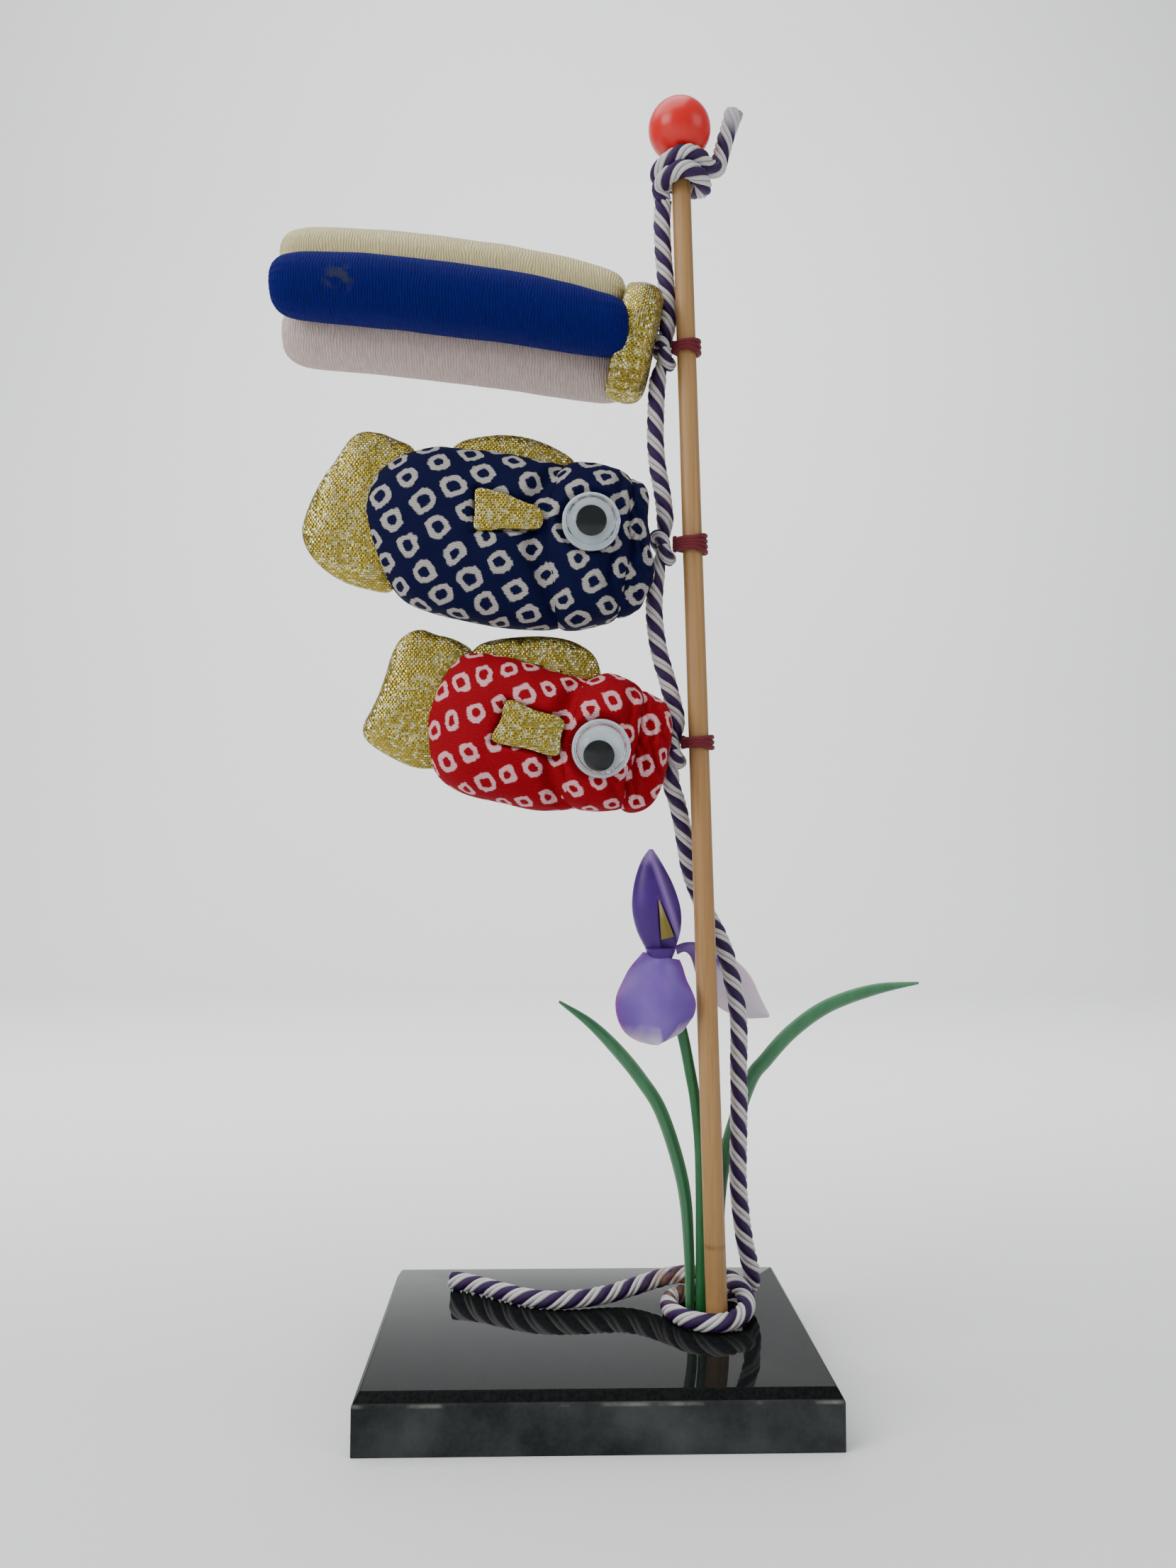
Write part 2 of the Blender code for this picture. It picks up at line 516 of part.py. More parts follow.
def make_eye(name, side, carp, head, parts, cutters, pivot, finishes):
    """A loose-pupil eye: a cup in a seat in the head, a clear dome and a sliding disc."""
    x, z = carp["eye"]
    radius = EYE_DIAMETER / 2
    direction = -1 if side == "front" else 1
    turn = (math.radians(-90 * direction), 0.0, 0.0)

    def stand(piece, depth, offset=(0.0, 0.0)):
        spot = (x + offset[0], CARP_PLANE + direction * depth, z + offset[1])
        piece.location = scaled(spot)
        piece.rotation_euler = turn
        return piece

    seat_radius = radius + FIT_GAP
    seat = cylinder(f"{name}_eye_seat_{side}", seat_radius, seat_radius, CARP_THICKNESS, 24)
    cut(head, as_cutter(stand(seat, EYE_SEAT), cutters, pivot), "MANIFOLD")
    cup = cylinder(f"{name}_eye_cup_{side}", radius, radius, EYE_CUP_THICKNESS, 24)
    place(stand(cup, EYE_SEAT + FIT_GAP), parts, finishes["eye_white"], pivot)
    dome_foot = EYE_SEAT + FIT_GAP + EYE_CUP_THICKNESS + FIT_GAP
    outer = [(0.0, DOME_HEIGHT), (radius * 0.6, DOME_HEIGHT * 0.88),
             (radius * 0.93, DOME_HEIGHT * 0.55), (radius, 0.0)]
    inside = radius - DOME_WALL
    ceiling = DOME_HEIGHT - DOME_WALL
    inner = [(inside, 0.0), (inside * 0.92, ceiling * 0.55), (inside * 0.59, ceiling * 0.88),
             (0.0, ceiling)]
    dome = turned(f"{name}_eye_dome_{side}", outer + inner, 20)
    shade_round(dome)
    place(stand(dome, dome_foot), parts, finishes["eye_clear"], pivot)
    pupil_radius = PUPIL_DIAMETER / 2
    play = radius - DOME_WALL - pupil_radius
    offset = [share * play for share in carp["pupil"]]
    pupil = cylinder(f"{name}_pupil_{side}", pupil_radius, pupil_radius, PUPIL_THICKNESS, 20)
    place(stand(pupil, dome_foot + FIT_GAP, offset), parts, finishes["pupil"], pivot)


def make_carp(name, carp, parts, cutters, pivot, finishes):
    cloth = finishes[name]
    lame = finishes["lame"]
    body = pillow(f"{name}_body", carp["body"], CARP_THICKNESS, (1.1, 1.9, 3.0))
    head = pillow(f"{name}_head", carp["head"], CARP_THICKNESS * 0.97, (1.0, 1.6, 2.2))
    mouth = pillow(f"{name}_mouth", carp["mouth"], MOUTH_THICKNESS, (0.5, 0.7))
    tail = pillow(f"{name}_tail", carp["tail"], TAIL_THICKNESS, (0.7, 1.6))
    dorsal = pillow(f"{name}_dorsal_fin", carp["dorsal"], DORSAL_THICKNESS, (0.3, 0.5))
    for piece, finish in ((body, cloth), (head, cloth), (mouth, cloth), (tail, lame),
                          (dorsal, lame)):
        piece.location = scaled((0.0, CARP_PLANE, 0.0))
        place(piece, parts, finish, pivot)
    fin_root = CARP_THICKNESS / 2 + FIT_GAP
    for side, direction in (("front", -1), ("back", 1)):
        near = direction * fin_root
        far = direction * (fin_root + FIN_THICKNESS)
        fin = plate(f"{name}_pectoral_fin_{side}", carp["pectoral"], near, far)
        fin.location = scaled((0.0, CARP_PLANE, 0.0))
        place(fin, parts, lame, pivot)
        make_eye(name, side, carp, head, parts, cutters, pivot, finishes)


def make_iris(parts, green, violet, lavender, yellow):
    place(tube("iris_stem", STEM_LINE, STEM_DIAMETER), parts, green)
    for name, line in (("iris_leaf_left", LEFT_LEAF), ("iris_leaf_right", RIGHT_LEAF)):
        foot = line[0]
        lifted = [(foot[0], foot[1], SLAB_TOP + LEAF_FOOT_LIFT, foot[3])] + line[1:]
        place(ribbon(name, lifted, LEAF_THICKNESS), parts, green)
    standard = pillow("iris_standard_petal", STANDARD_PETAL, STANDARD_THICKNESS,
                      (0.7, 1.2))
    standard.location = scaled((0.0, STANDARD_PLANE, 0.0))
    place(standard, parts, violet)
    throat_back = STANDARD_PLANE - STANDARD_THICKNESS / 2 - FIT_GAP
    throat = plate("iris_throat", THROAT, throat_back - PETAL_THICKNESS / 2, throat_back)
    place(throat, parts, yellow)
    data = bmesh.new()
    bmesh.ops.create_uvsphere(data, u_segments=14, v_segments=8, radius=0.5)
    size = (CUP_DIAMETER, CUP_DIAMETER, CUP_HEIGHT)
    bmesh.ops.scale(data, vec=scaled(size), verts=data.verts)
    cup = mesh_piece("iris_cup", data)
    shade_round(cup)
    cup.location = scaled(CUP_CENTRE)
    place(cup, parts, violet)
    fall = plate("iris_fall_petal", FALL_PETAL, FALL_PLANE - PETAL_THICKNESS / 2,
                 FALL_PLANE + PETAL_THICKNESS / 2)
    place(fall, parts, lavender)
    place(ribbon("iris_side_petal", SIDE_PETAL, PETAL_THICKNESS), parts, lavender)


def main():
    clear_scene()
    parts = collection("carp_streamer")
    cutters = collection("cutters")
    finishes = {
        "navy": finish_material("navy_crepe", (0.011, 0.021, 0.098), 0.85),
        "red": finish_material("red_crepe", (0.53, 0.014, 0.027), 0.85),
        "lame": finish_material("gold_lame", (0.4, 0.29, 0.062), 0.35, 0.8),
        "eye_white": finish_material("white_plastic", (0.62, 0.62, 0.63), 0.4),
        "eye_clear": finish_material("clear_plastic", (0.8, 0.84, 0.85), 0.08),
        "pupil": finish_material("black_plastic", (0.02, 0.02, 0.02), 0.4),
    }
    cloths = {
        "windsock_roll_blue": finish_material("blue_crepe", (0.007, 0.013, 0.22), 0.85),
        "windsock_roll_beige": finish_material("beige_crepe", (0.51, 0.46, 0.3), 0.7),
        "windsock_roll_white": finish_material("white_crepe", (0.61, 0.53, 0.5), 0.85),
    }
    stone = finish_material("black_granite", (0.012, 0.013, 0.013), 0.15)
    bamboo = finish_material("bamboo", (0.43, 0.28, 0.145), 0.5)
    lacquer = finish_material("red_lacquer", (0.7, 0.05, 0.045), 0.3)
    cord = finish_material("rayon_cord", (0.5, 0.45, 0.55), 0.6)
    thread = finish_material("maroon_thread", (0.33, 0.06, 0.08), 0.7)
    green = finish_material("green_plastic", (0.07, 0.2, 0.1), 0.5)
    violet = finish_material("violet_plastic", (0.08, 0.02, 0.26), 0.5)
    lavender = finish_material("lavender_plastic", (0.26, 0.16, 0.47), 0.5)
    yellow = finish_material("yellow_plastic", (0.28, 0.2, 0.02), 0.5)

    make_slab(parts, cutters, stone)
    ball_foot = make_pole(parts, cutters, bamboo, lacquer)
    make_cord(parts, ball_foot, cord, thread)
    pivots = {}
    for tie in TIES:
        name = tie["streamer"]
        offsets = zip(knot_middle(tie), tie["pivot"])
        spot = [middle + offset for middle, offset in offsets]
        pivots[name] = pivot_empty(name + "_pivot", spot, parts)
    make_windsock(parts, pivots["windsock"], cloths, finishes["lame"])
    for name, carp in CARPS.items():
        make_carp(name, carp, parts, cutters, pivots[name], finishes)
    make_iris(parts, green, violet, lavender, yellow)


main()
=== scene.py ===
"""The finished look of a desk-top carp streamer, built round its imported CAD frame.

Lengths are written in millimetres and scaled by MM. X is to the right, Y away from the
front and Z up, from the middle of the slab's underside.
"""
import math

import bmesh
import bpy
from mathutils import Matrix, Vector, noise


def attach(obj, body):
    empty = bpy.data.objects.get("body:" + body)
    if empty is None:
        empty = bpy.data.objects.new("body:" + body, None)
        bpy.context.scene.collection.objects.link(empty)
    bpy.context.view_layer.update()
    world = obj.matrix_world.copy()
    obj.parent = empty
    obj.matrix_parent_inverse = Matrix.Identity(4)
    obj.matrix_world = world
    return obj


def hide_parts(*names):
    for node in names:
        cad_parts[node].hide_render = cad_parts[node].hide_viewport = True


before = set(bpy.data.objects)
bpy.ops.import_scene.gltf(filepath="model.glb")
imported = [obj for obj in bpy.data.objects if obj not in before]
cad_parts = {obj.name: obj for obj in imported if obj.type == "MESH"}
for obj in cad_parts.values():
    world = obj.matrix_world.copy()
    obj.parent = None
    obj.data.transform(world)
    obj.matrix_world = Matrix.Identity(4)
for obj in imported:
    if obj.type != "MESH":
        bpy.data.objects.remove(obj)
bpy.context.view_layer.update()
MM = 0.001


# Camera and studio: a pale sheet runs over the table and up the wall behind, under wide soft
# lights. The camera stands close, a little above the slab, and looks slightly up.
def linear(hex_colour):
    """An sRGB hex colour as the linear colour that shaders and lights take."""
    channels = [int(hex_colour[start:start + 2], 16) / 255 for start in (1, 3, 5)]
    scaled = [value / 12.92 if value <= 0.04045 else ((value + 0.055) / 1.055) ** 2.4
              for value in channels]
    return (*scaled, 1.0)


def add(tree, kind, inputs=None, **settings):
    """Add one shader node, with its settings, its values and its links."""
    shader_node = tree.nodes.new("ShaderNode" + kind)
    for name, value in settings.items():
        setattr(shader_node, name, value)
    for socket, value in (inputs or {}).items():
        if isinstance(value, bpy.types.NodeSocket):
            tree.links.new(value, shader_node.inputs[socket])
        else:
            shader_node.inputs[socket].default_value = value
    return shader_node


def maths(tree, operation, *values):
    """The result of one Math node."""
    return add(tree, "Math", dict(enumerate(values)), operation=operation).outputs[0]


def mixed(tree, share, first, second):
    """A colour between two others, each of them a hex colour or a socket."""
    ends = [linear(end) if isinstance(end, str) else end for end in (first, second)]
    return add(tree, "Mix", {"Factor": share, "A": ends[0], "B": ends[1]},
               data_type="RGBA").outputs["Result"]


def ranged(tree, value, start, end, low=0.0, high=1.0):
    """A value carried from the range start to end into the range low to high."""
    return add(tree, "MapRange", {"Value": value, "From Min": start, "From Max": end,
                                  "To Min": low, "To Max": high}).outputs[0]


def noisy(tree, vector, scale, detail, roughness=0.5):
    """Soft noise between 0 and 1."""
    return add(tree, "TexNoise", {"Vector": vector, "Scale": scale, "Detail": detail,
                                  "Roughness": roughness}).outputs["Fac"]


def roughened(tree, shader, height, strength, distance):
    """Give a shader relief from a height."""
    bump = add(tree, "Bump", {"Height": height, "Strength": strength, "Distance": distance})
    tree.links.new(bump.outputs["Normal"], shader.inputs["Normal"])


def finish(name, **sockets):
    """A new material, its node tree and its Principled shader with the given values."""
    material = bpy.data.materials.new(name)
    material.use_nodes = True
    shader = material.node_tree.nodes["Principled BSDF"]
    for socket, value in sockets.items():
        shader.inputs[socket.replace("_", " ")].default_value = value
    return material, material.node_tree, shader


def finished(name, data, material=None, smooth=True, sharp=40):
    """Turn a bmesh into a linked object at the origin, smooth-shaded if asked, with its material."""
    mesh = bpy.data.meshes.new(name)
    data.to_mesh(mesh)
    data.free()
    piece = bpy.data.objects.new(name, mesh)
    bpy.context.scene.collection.objects.link(piece)
    if smooth:
        mesh.shade_smooth()
        mesh.set_sharp_from_angle(angle=math.radians(sharp))
    if material is not None:
        mesh.materials.append(material)
    return piece


CAMERA_PLACE = (-8.35, -228.0, 89.5)
camera_data = bpy.data.cameras.new("camera")
camera_data.lens = 29.29
camera_data.sensor_width = 36.0
camera_data.clip_start = 0.01
camera = bpy.data.objects.new("camera", camera_data)
camera.location = Vector(CAMERA_PLACE) * MM
camera.rotation_euler = (math.radians(93.47), math.radians(-0.17), math.radians(-1.83))
bpy.context.scene.collection.objects.link(camera)
bpy.context.scene.camera = camera

sweep_white, tree, shader = finish("matt_white_paper_sweep", Roughness=0.9)
place = add(tree, "TexCoord").outputs["Object"]
fibres = noisy(tree, place, 3.0, 3.0)
tone = add(tree, "Mix", {"Factor": fibres, "A": linear("#E2E3E4"), "B": linear("#E8E8E8")},
           data_type="RGBA")
tree.links.new(tone.outputs["Result"], shader.inputs["Base Color"])
data = bmesh.new()
bmesh.ops.create_grid(data, x_segments=1, y_segments=1, size=1.6)
wall_edge = [edge for edge in data.edges if all(vert.co.y > 0 for vert in edge.verts)]
bmesh.ops.translate(data, vec=(0.0, -0.95, 0.0), verts=wall_edge[0].verts)
bmesh.ops.spin(data, geom=wall_edge, cent=(0.0, 0.65, 0.25), axis=(1.0, 0.0, 0.0),
               angle=math.radians(90), steps=16)
top_edge = max(data.edges, key=lambda edge: sum(vert.co.z for vert in edge.verts))
raised = bmesh.ops.extrude_edge_only(data, edges=[top_edge])["geom"]
bmesh.ops.translate(data, vec=(0.0, 0.0, 1.6),
                    verts=[item for item in raised if isinstance(item, bmesh.types.BMVert)])
sweep = finished("paper_sweep", data, sweep_white, sharp=80)

for name, spot, turn, size, watts in (
        ("overhead_softbox", (-0.25, -0.15, 0.85), (-8, -14, 0), 0.9, 8.0),
        ("left_softbox", (-0.75, -0.55, 0.45), (62, 0, -52), 0.5, 5.6),
        ("right_softbox", (0.75, -0.45, 0.4), (66, 0, 58), 0.5, 1.9),
        ("wall_softbox", (0.0, 0.2, 0.75), (75, 0, 0), 1.0, 11.0)):
    light = bpy.data.lights.new(name, "AREA")
    light.shape = "SQUARE"
    light.size = size
    light.energy = watts
    lamp = bpy.data.objects.new(name, light)
    lamp.location = spot
    lamp.rotation_euler = [math.radians(angle) for angle in turn]
    bpy.context.scene.collection.objects.link(lamp)
world = bpy.data.worlds.new("soft_room_light")
world.use_nodes = True
world.node_tree.nodes["Background"].inputs["Color"].default_value = linear("#E3E7EA")
world.node_tree.nodes["Background"].inputs["Strength"].default_value = 0.42
bpy.context.scene.world = world


# Base slab: one block of black granite. The top is polished to a mirror, the upper edges are
# ground to a slope, and the sides are only honed, so they are duller and show small chips.
SLAB_TOP = 9.4
SLAB_SLOPE_FOOT = 7.5
EDGE_ROUND = 0.18

polished_granite, tree, shader = finish("polished_black_granite", IOR=1.12,
                                        Specular_Tint=linear("#A0A2A2"))
place = add(tree, "TexCoord").outputs["Object"]
height = add(tree, "SeparateXYZ", {0: place}).outputs["Z"]
# Crystals about 0.6 mm across, barely lighter than the black ground.
crystals = add(tree, "TexVoronoi", {"Vector": place, "Scale": 1600.0}).outputs["Distance"]
clouds = noisy(tree, place, 90.0, 4.0)
ground = mixed(tree, crystals, "#0E1010", "#1C1E1E")
side = maths(tree, "LESS_THAN", height, (SLAB_SLOPE_FOOT + 0.4) * MM)
dusty = ranged(tree, clouds, 0.4, 0.75, 0.1, 0.4)
side_haze = maths(tree, "MULTIPLY", side, dusty)
honed = mixed(tree, side_haze, ground, "#606566")
# The line where the slope starts is worn pale in short stretches.
from_edge = maths(tree, "SUBTRACT", height, SLAB_SLOPE_FOOT * MM)
near_edge = maths(tree, "ABSOLUTE", from_edge)
edge_line = ranged(tree, near_edge, 0.35 * MM, 0.1 * MM)
wear = noisy(tree, place, 130.0, 5.0)
worn = ranged(tree, wear, 0.52, 0.68, 0.0, 0.55)
worn_line = maths(tree, "MULTIPLY", edge_line, worn)
stone = mixed(tree, worn_line, honed, "#8C8780")
tree.links.new(stone, shader.inputs["Base Color"])
below_top = maths(tree, "LESS_THAN", height, (SLAB_TOP - 0.06) * MM)
gloss = add(tree, "MapRange", {"Value": below_top, "To Min": 0.035, "To Max": 0.34}).outputs[0]
honed_gloss = maths(tree, "ADD", gloss, side_haze)
tree.links.new(honed_gloss, shader.inputs["Roughness"])
grain = maths(tree, "MULTIPLY", crystals, below_top)
roughened(tree, shader, grain, 0.12, 0.0001)


def copied(name):
    """A welded copy of a CAD node's mesh, with its flat faces whole again."""
    data = bmesh.new()
    data.from_mesh(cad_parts[name].data)
    bmesh.ops.remove_doubles(data, verts=data.verts, dist=0.00001)
    bmesh.ops.dissolve_limit(data, angle_limit=math.radians(1), verts=data.verts,
                             edges=data.edges)
    return data


data = copied("base_slab")
outer = [edge for edge in data.edges
         if all(abs(vert.co.x) > 36 * MM or abs(vert.co.y) > 28 * MM for vert in edge.verts)
         and edge.calc_face_angle(0) > math.radians(20)]
bmesh.ops.bevel(data, geom=outer, affect="EDGES", offset=EDGE_ROUND * MM, segments=2,
                profile=0.5, material=-1)
slab = finished("granite_slab", data, polished_granite, sharp=25)
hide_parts("base_slab")
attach(slab, "stand")


# Bamboo pole: a slim stick split from a culm and planed nearly round, left bare. The flat of the
# culm's skin and the dark dots of its fibre bundles show as lines along it.
POLE_FOOT = (21.5, -2.5)
POLE_LEAN = math.radians(1.68)
POLE_RISE = 214.0
POLE_FOOT_HIDDEN = 6.1
POLE_RADIUS = (1.9, 1.7)
POLE_FLAT = 0.12


def wrapped(around, along, place, cloth=None, capped=True):
    """A grid rolled into a tube: place(turn, run) gives a point in mm, cloth(turn, run) its UV."""
    data = bmesh.new()
    data.loops.layers.uv.new("UVMap")
    bmesh.ops.create_grid(data, x_segments=around, y_segments=along, size=0.5, calc_uvs=True)
    layer = data.loops.layers.uv.active
    for vert in data.verts:
        turn = round((vert.co.x + 0.5) * around) / around
        run = round((vert.co.y + 0.5) * along) / along
        vert.co = Vector(place(turn, run)) * MM
    if cloth is not None:
        for face in data.faces:
            for loop in face.loops:
                loop[layer].uv = cloth(*loop[layer].uv)
    bmesh.ops.remove_doubles(data, verts=data.verts, dist=0.000002)
    bmesh.ops.dissolve_degenerate(data, edges=data.edges, dist=0.000001)
    if capped:
        rims = [edge for edge in data.edges if edge.is_boundary]
        bmesh.ops.holes_fill(data, edges=rims, sides=0)
    bmesh.ops.recalc_face_normals(data, faces=data.faces)
    return data


def pole_axis(height):
    """The middle of the leaning pole at a height above the ground."""
    x = POLE_FOOT[0] - math.tan(POLE_LEAN) * (height - SLAB_TOP)
    return Vector((x, POLE_FOOT[1], height))


def pole_radius(height):
    share = (height - SLAB_TOP) / POLE_RISE
    return POLE_RADIUS[0] + (POLE_RADIUS[1] - POLE_RADIUS[0]) * share


def on_pole_surface(turn, run):
    height = SLAB_TOP - POLE_FOOT_HIDDEN + (POLE_RISE + POLE_FOOT_HIDDEN) * run
    angle = math.tau * turn
    flat = POLE_FLAT * max(0.0, math.cos(2 * (angle - math.radians(250)))) ** 3
    radius = pole_radius(height) - flat
    radius += 0.03 * noise.noise(Vector((3 * turn, 0.0, height * 0.06)))
    spoke = Vector((math.cos(angle), math.sin(angle), 0.0)) * radius
    return pole_axis(height) + spoke


bamboo, tree, shader = finish("planed_bamboo", IOR=1.5, Roughness=0.46)
place = add(tree, "TexCoord").outputs["Object"]
along_grain = add(tree, "Mapping", {"Vector": place, "Scale": (1.0, 1.0, 0.03)}).outputs[0]
# Fibre lines about 0.25 mm apart, drawn out along the stick.
fibres = noisy(tree, along_grain, 2600.0, 3.0, 0.6)
bands = noisy(tree, along_grain, 500.0, 2.0)
light = mixed(tree, bands, "#8B6536", "#AC8450")
streak = ranged(tree, fibres, 0.5, 0.75, 0.0, 0.5)
grained = mixed(tree, streak, light, "#6E4C22")
# A faint brown scar is left where a node was planed off, and one or two small spots.
height = add(tree, "SeparateXYZ", {0: place}).outputs["Z"]
from_scar = maths(tree, "SUBTRACT", height, 22.9 * MM)
scar_gap = maths(tree, "ABSOLUTE", from_scar)
scar_band = ranged(tree, scar_gap, 0.7 * MM, 0.0)
patches = noisy(tree, place, 420.0, 2.0)
scar = maths(tree, "MULTIPLY", scar_band, patches)
scarred = mixed(tree, scar, grained, "#5C4020")
tree.links.new(scarred, shader.inputs["Base Color"])
roughened(tree, shader, fibres, 0.35, 0.00008)

pole = finished("bamboo_pole", wrapped(32, 90, on_pole_surface), bamboo)
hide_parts("pole")
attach(pole, "stand")


# Finial: a turned wooden bead in vermilion lacquer, drilled from below and glued on the pole. The
# brushed lacquer is smooth but not wet, with a soft orange peel.
BALL_DIAMETER = 11.4
BALL_HOLE_DEPTH = 6.0
BALL_HOLE_RADIUS = 2.0
FIT_GAP = 0.3

lacquer, tree, shader = finish("vermilion_lacquer", IOR=1.5, Roughness=0.3, Specular_IOR_Level=0.4)
place = add(tree, "TexCoord").outputs["Object"]
mottle = noisy(tree, place, 220.0, 2.0)
coat = mixed(tree, mottle, "#C6130F", "#D4201B")
tree.links.new(coat, shader.inputs["Base Color"])
peel = noisy(tree, place, 900.0, 1.0)
roughened(tree, shader, peel, 0.15, 0.0001)

ball_radius = BALL_DIAMETER / 2
pole_top = SLAB_TOP + POLE_RISE
hole_end = pole_top + FIT_GAP
ball_centre = hole_end - BALL_HOLE_DEPTH + ball_radius
mouth_angle = math.asin(BALL_HOLE_RADIUS / ball_radius)
ceiling = hole_end - ball_centre


def on_ball(turn, run):
    """The profile runs over the bead from its top to the drilled mouth, and up into the hole."""
    if run <= 0.8:
        angle = (math.pi - mouth_angle) * run / 0.8
        radius, rise = ball_radius * math.sin(angle), ball_radius * math.cos(angle)
    elif run <= 0.9:
        mouth = -ball_radius * math.cos(mouth_angle)
        radius, rise = BALL_HOLE_RADIUS, mouth + (ceiling - mouth) * (run - 0.8) / 0.1
    else:
        radius, rise = BALL_HOLE_RADIUS * (1 - run) / 0.1, ceiling
    spot = Vector((math.cos(math.tau * turn) * radius, math.sin(math.tau * turn) * radius, rise))
    return Matrix.Rotation(-POLE_LEAN, 3, "Y") @ spot + pole_axis(ball_centre)


ball = finished("lacquered_bead", wrapped(64, 50, on_ball, capped=False), lacquer, sharp=50)
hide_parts("finial_ball")
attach(ball, "stand")


# Cord: one length of decorative cord, twisted from purple and white rayon yarns. It is knotted
# under the bead, hangs down the pole through the three tie knots, passes behind the pole, turns
# round its foot and lies out over the slab, where its cut end is glued and frayed.
CORD_DIAMETER = 3.2
CORD_STARTS = 2
CORD_LAY = 9.1
YARN_ENDS = (0.0, 0.46, 0.73, 1.0)
YARN_DEPTH = 0.36
LOOP_DIAMETER = 2.5
TIE_KNOTS = [(12.3, -1.0, 182.1), (12.3, -0.6, 146.2), (14.1, -0.8, 109.3)]
CORD_ROUTE = [
    (12.3, -1.7, 210.2), (12.1, -1.3, 206.2), (12.4, -0.9, 200.3), (13.0, -0.7, 194.0),
    (13.2, -0.8, 189.8), (13.1, -0.9, 187.0), (12.6, -0.6, 182.3), (11.4, -0.7, 177.2),
    (11.1, -0.3, 172.5), (11.0, 0.0, 166.4), (11.4, 0.0, 161.2), (12.2, -0.2, 156.5),
    (12.7, -0.6, 151.2), (12.2, -0.4, 146.2), (11.2, -0.2, 141.3), (10.8, 0.1, 136.5),
    (10.9, 0.0, 132.5), (11.7, 0.0, 127.2), (13.1, -0.2, 122.1), (14.2, -0.5, 117.6),
    (14.7, -0.7, 114.6), (14.3, -0.5, 109.3), (13.7, -0.6, 104.0), (14.8, 0.0, 100.4),
    (15.9, 0.9, 96.0), (16.6, 1.5, 91.9), (17.4, 2.0, 87.9), (18.8, 2.3, 84.0),
    (20.6, 2.4, 80.0), (22.4, 2.4, 76.6), (23.9, 2.4, 72.9), (24.9, 2.4, 68.9),
    (25.6, 2.3, 65.4), (26.1, 2.2, 61.6), (26.2, 2.2, 57.6), (26.1, 2.2, 53.0),
    (26.2, 2.3, 48.4), (26.1, 2.4, 41.0), (26.0, 2.6, 33.5), (26.4, 3.0, 28.2),
    (27.2, 3.6, 22.4), (28.1, 4.3, 18.4), (28.9, 5.5, 15.0), (28.4, 8.1, 12.3),
    (25.4, 10.1, 11.2), (21.3, 10.5, 11.1), (17.3, 9.2, 11.1), (14.5, 6.1, 11.1),
    (13.6, 2.3, 11.1), (14.4, -1.8, 11.1), (16.9, -5.1, 11.1), (20.5, -6.6, 11.1),
    (24.1, -5.4, 11.3), (26.5, -2.4, 12.1), (26.8, 1.2, 13.4), (25.1, 4.7, 14.6),
    (22.0, 6.9, 14.9), (18.5, 7.9, 14.8), (14.8, 9.0, 14.2), (11.0, 9.8, 13.0),
    (6.9, 9.3, 11.9), (2.5, 7.6, 11.3), (-2.2, 6.2, 11.1), (-7.3, 5.9, 11.0),
    (-12.0, 7.6, 11.0), (-16.4, 10.9, 11.0), (-20.7, 14.3, 11.0), (-25.6, 17.2, 11.0)]
TOP_KNOT_ROUTE = [
    (12.3, -1.7, 210.2), (11.7, -2.6, 212.2), (12.8, -5.0, 213.2), (15.6, -6.4, 213.9),
    (18.4, -5.2, 213.3), (19.6, -2.4, 212.6), (18.4, 0.4, 213.6), (15.4, 1.5, 214.9),
    (12.4, 0.2, 215.2), (11.3, -2.6, 214.9), (12.6, -5.2, 215.6), (15.5, -6.0, 217.0),
    (18.3, -5.0, 217.0), (20.4, -3.0, 216.2), (22.2, -1.7, 216.6), (23.0, -1.1, 219.4),
    (24.1, -0.9, 223.4), (25.5, -1.0, 227.8)]


def smooth_route(points, step):
    """Evenly spaced points on a smooth curve through the route's own points."""
    fine = []
    for index in range(len(points) - 1):
        before = Vector(points[max(index - 1, 0)])
        start = Vector(points[index])
        end = Vector(points[index + 1])
        after = Vector(points[min(index + 2, len(points) - 1)])
        for part in range(16):
            t = part / 16
            fine.append(0.5 * (2 * start + (end - before) * t
                               + (2 * before - 5 * start + 4 * end - after) * t ** 2
                               + (3 * start - before - 3 * end + after) * t ** 3))
    fine.append(Vector(points[-1]))
    reached = [0.0]
    for start, end in zip(fine, fine[1:]):
        reached.append(reached[-1] + (end - start).length)
    count = max(2, round(reached[-1] / step))
    line = []
    index = 0
    for number in range(count + 1):
        target = reached[-1] * number / count
        while index < len(fine) - 2 and reached[index + 1] < target:
            index += 1
        span = max(reached[index + 1] - reached[index], 1e-9)
        line.append(fine[index].lerp(fine[index + 1], (target - reached[index]) / span))
    return line, reached[-1]


def cross_frames(line, closed=False):
    """Two directions across the line at each of its points, turning no more than it bends."""
    frames = []
    across = None
    for index in range(len(line)):
        if closed:
            ahead = (line[(index + 1) % (len(line) - 1)] - line[index - 1 if index else -2])
        else:
            ahead = line[min(index + 1, len(line) - 1)] - line[max(index - 1, 0)]
        ahead.normalize()
        if across is None:
            across = ahead.orthogonal().normalized()
        across = (across - ahead * across.dot(ahead)).normalized()
        frames.append((across, ahead.cross(across)))
    return frames


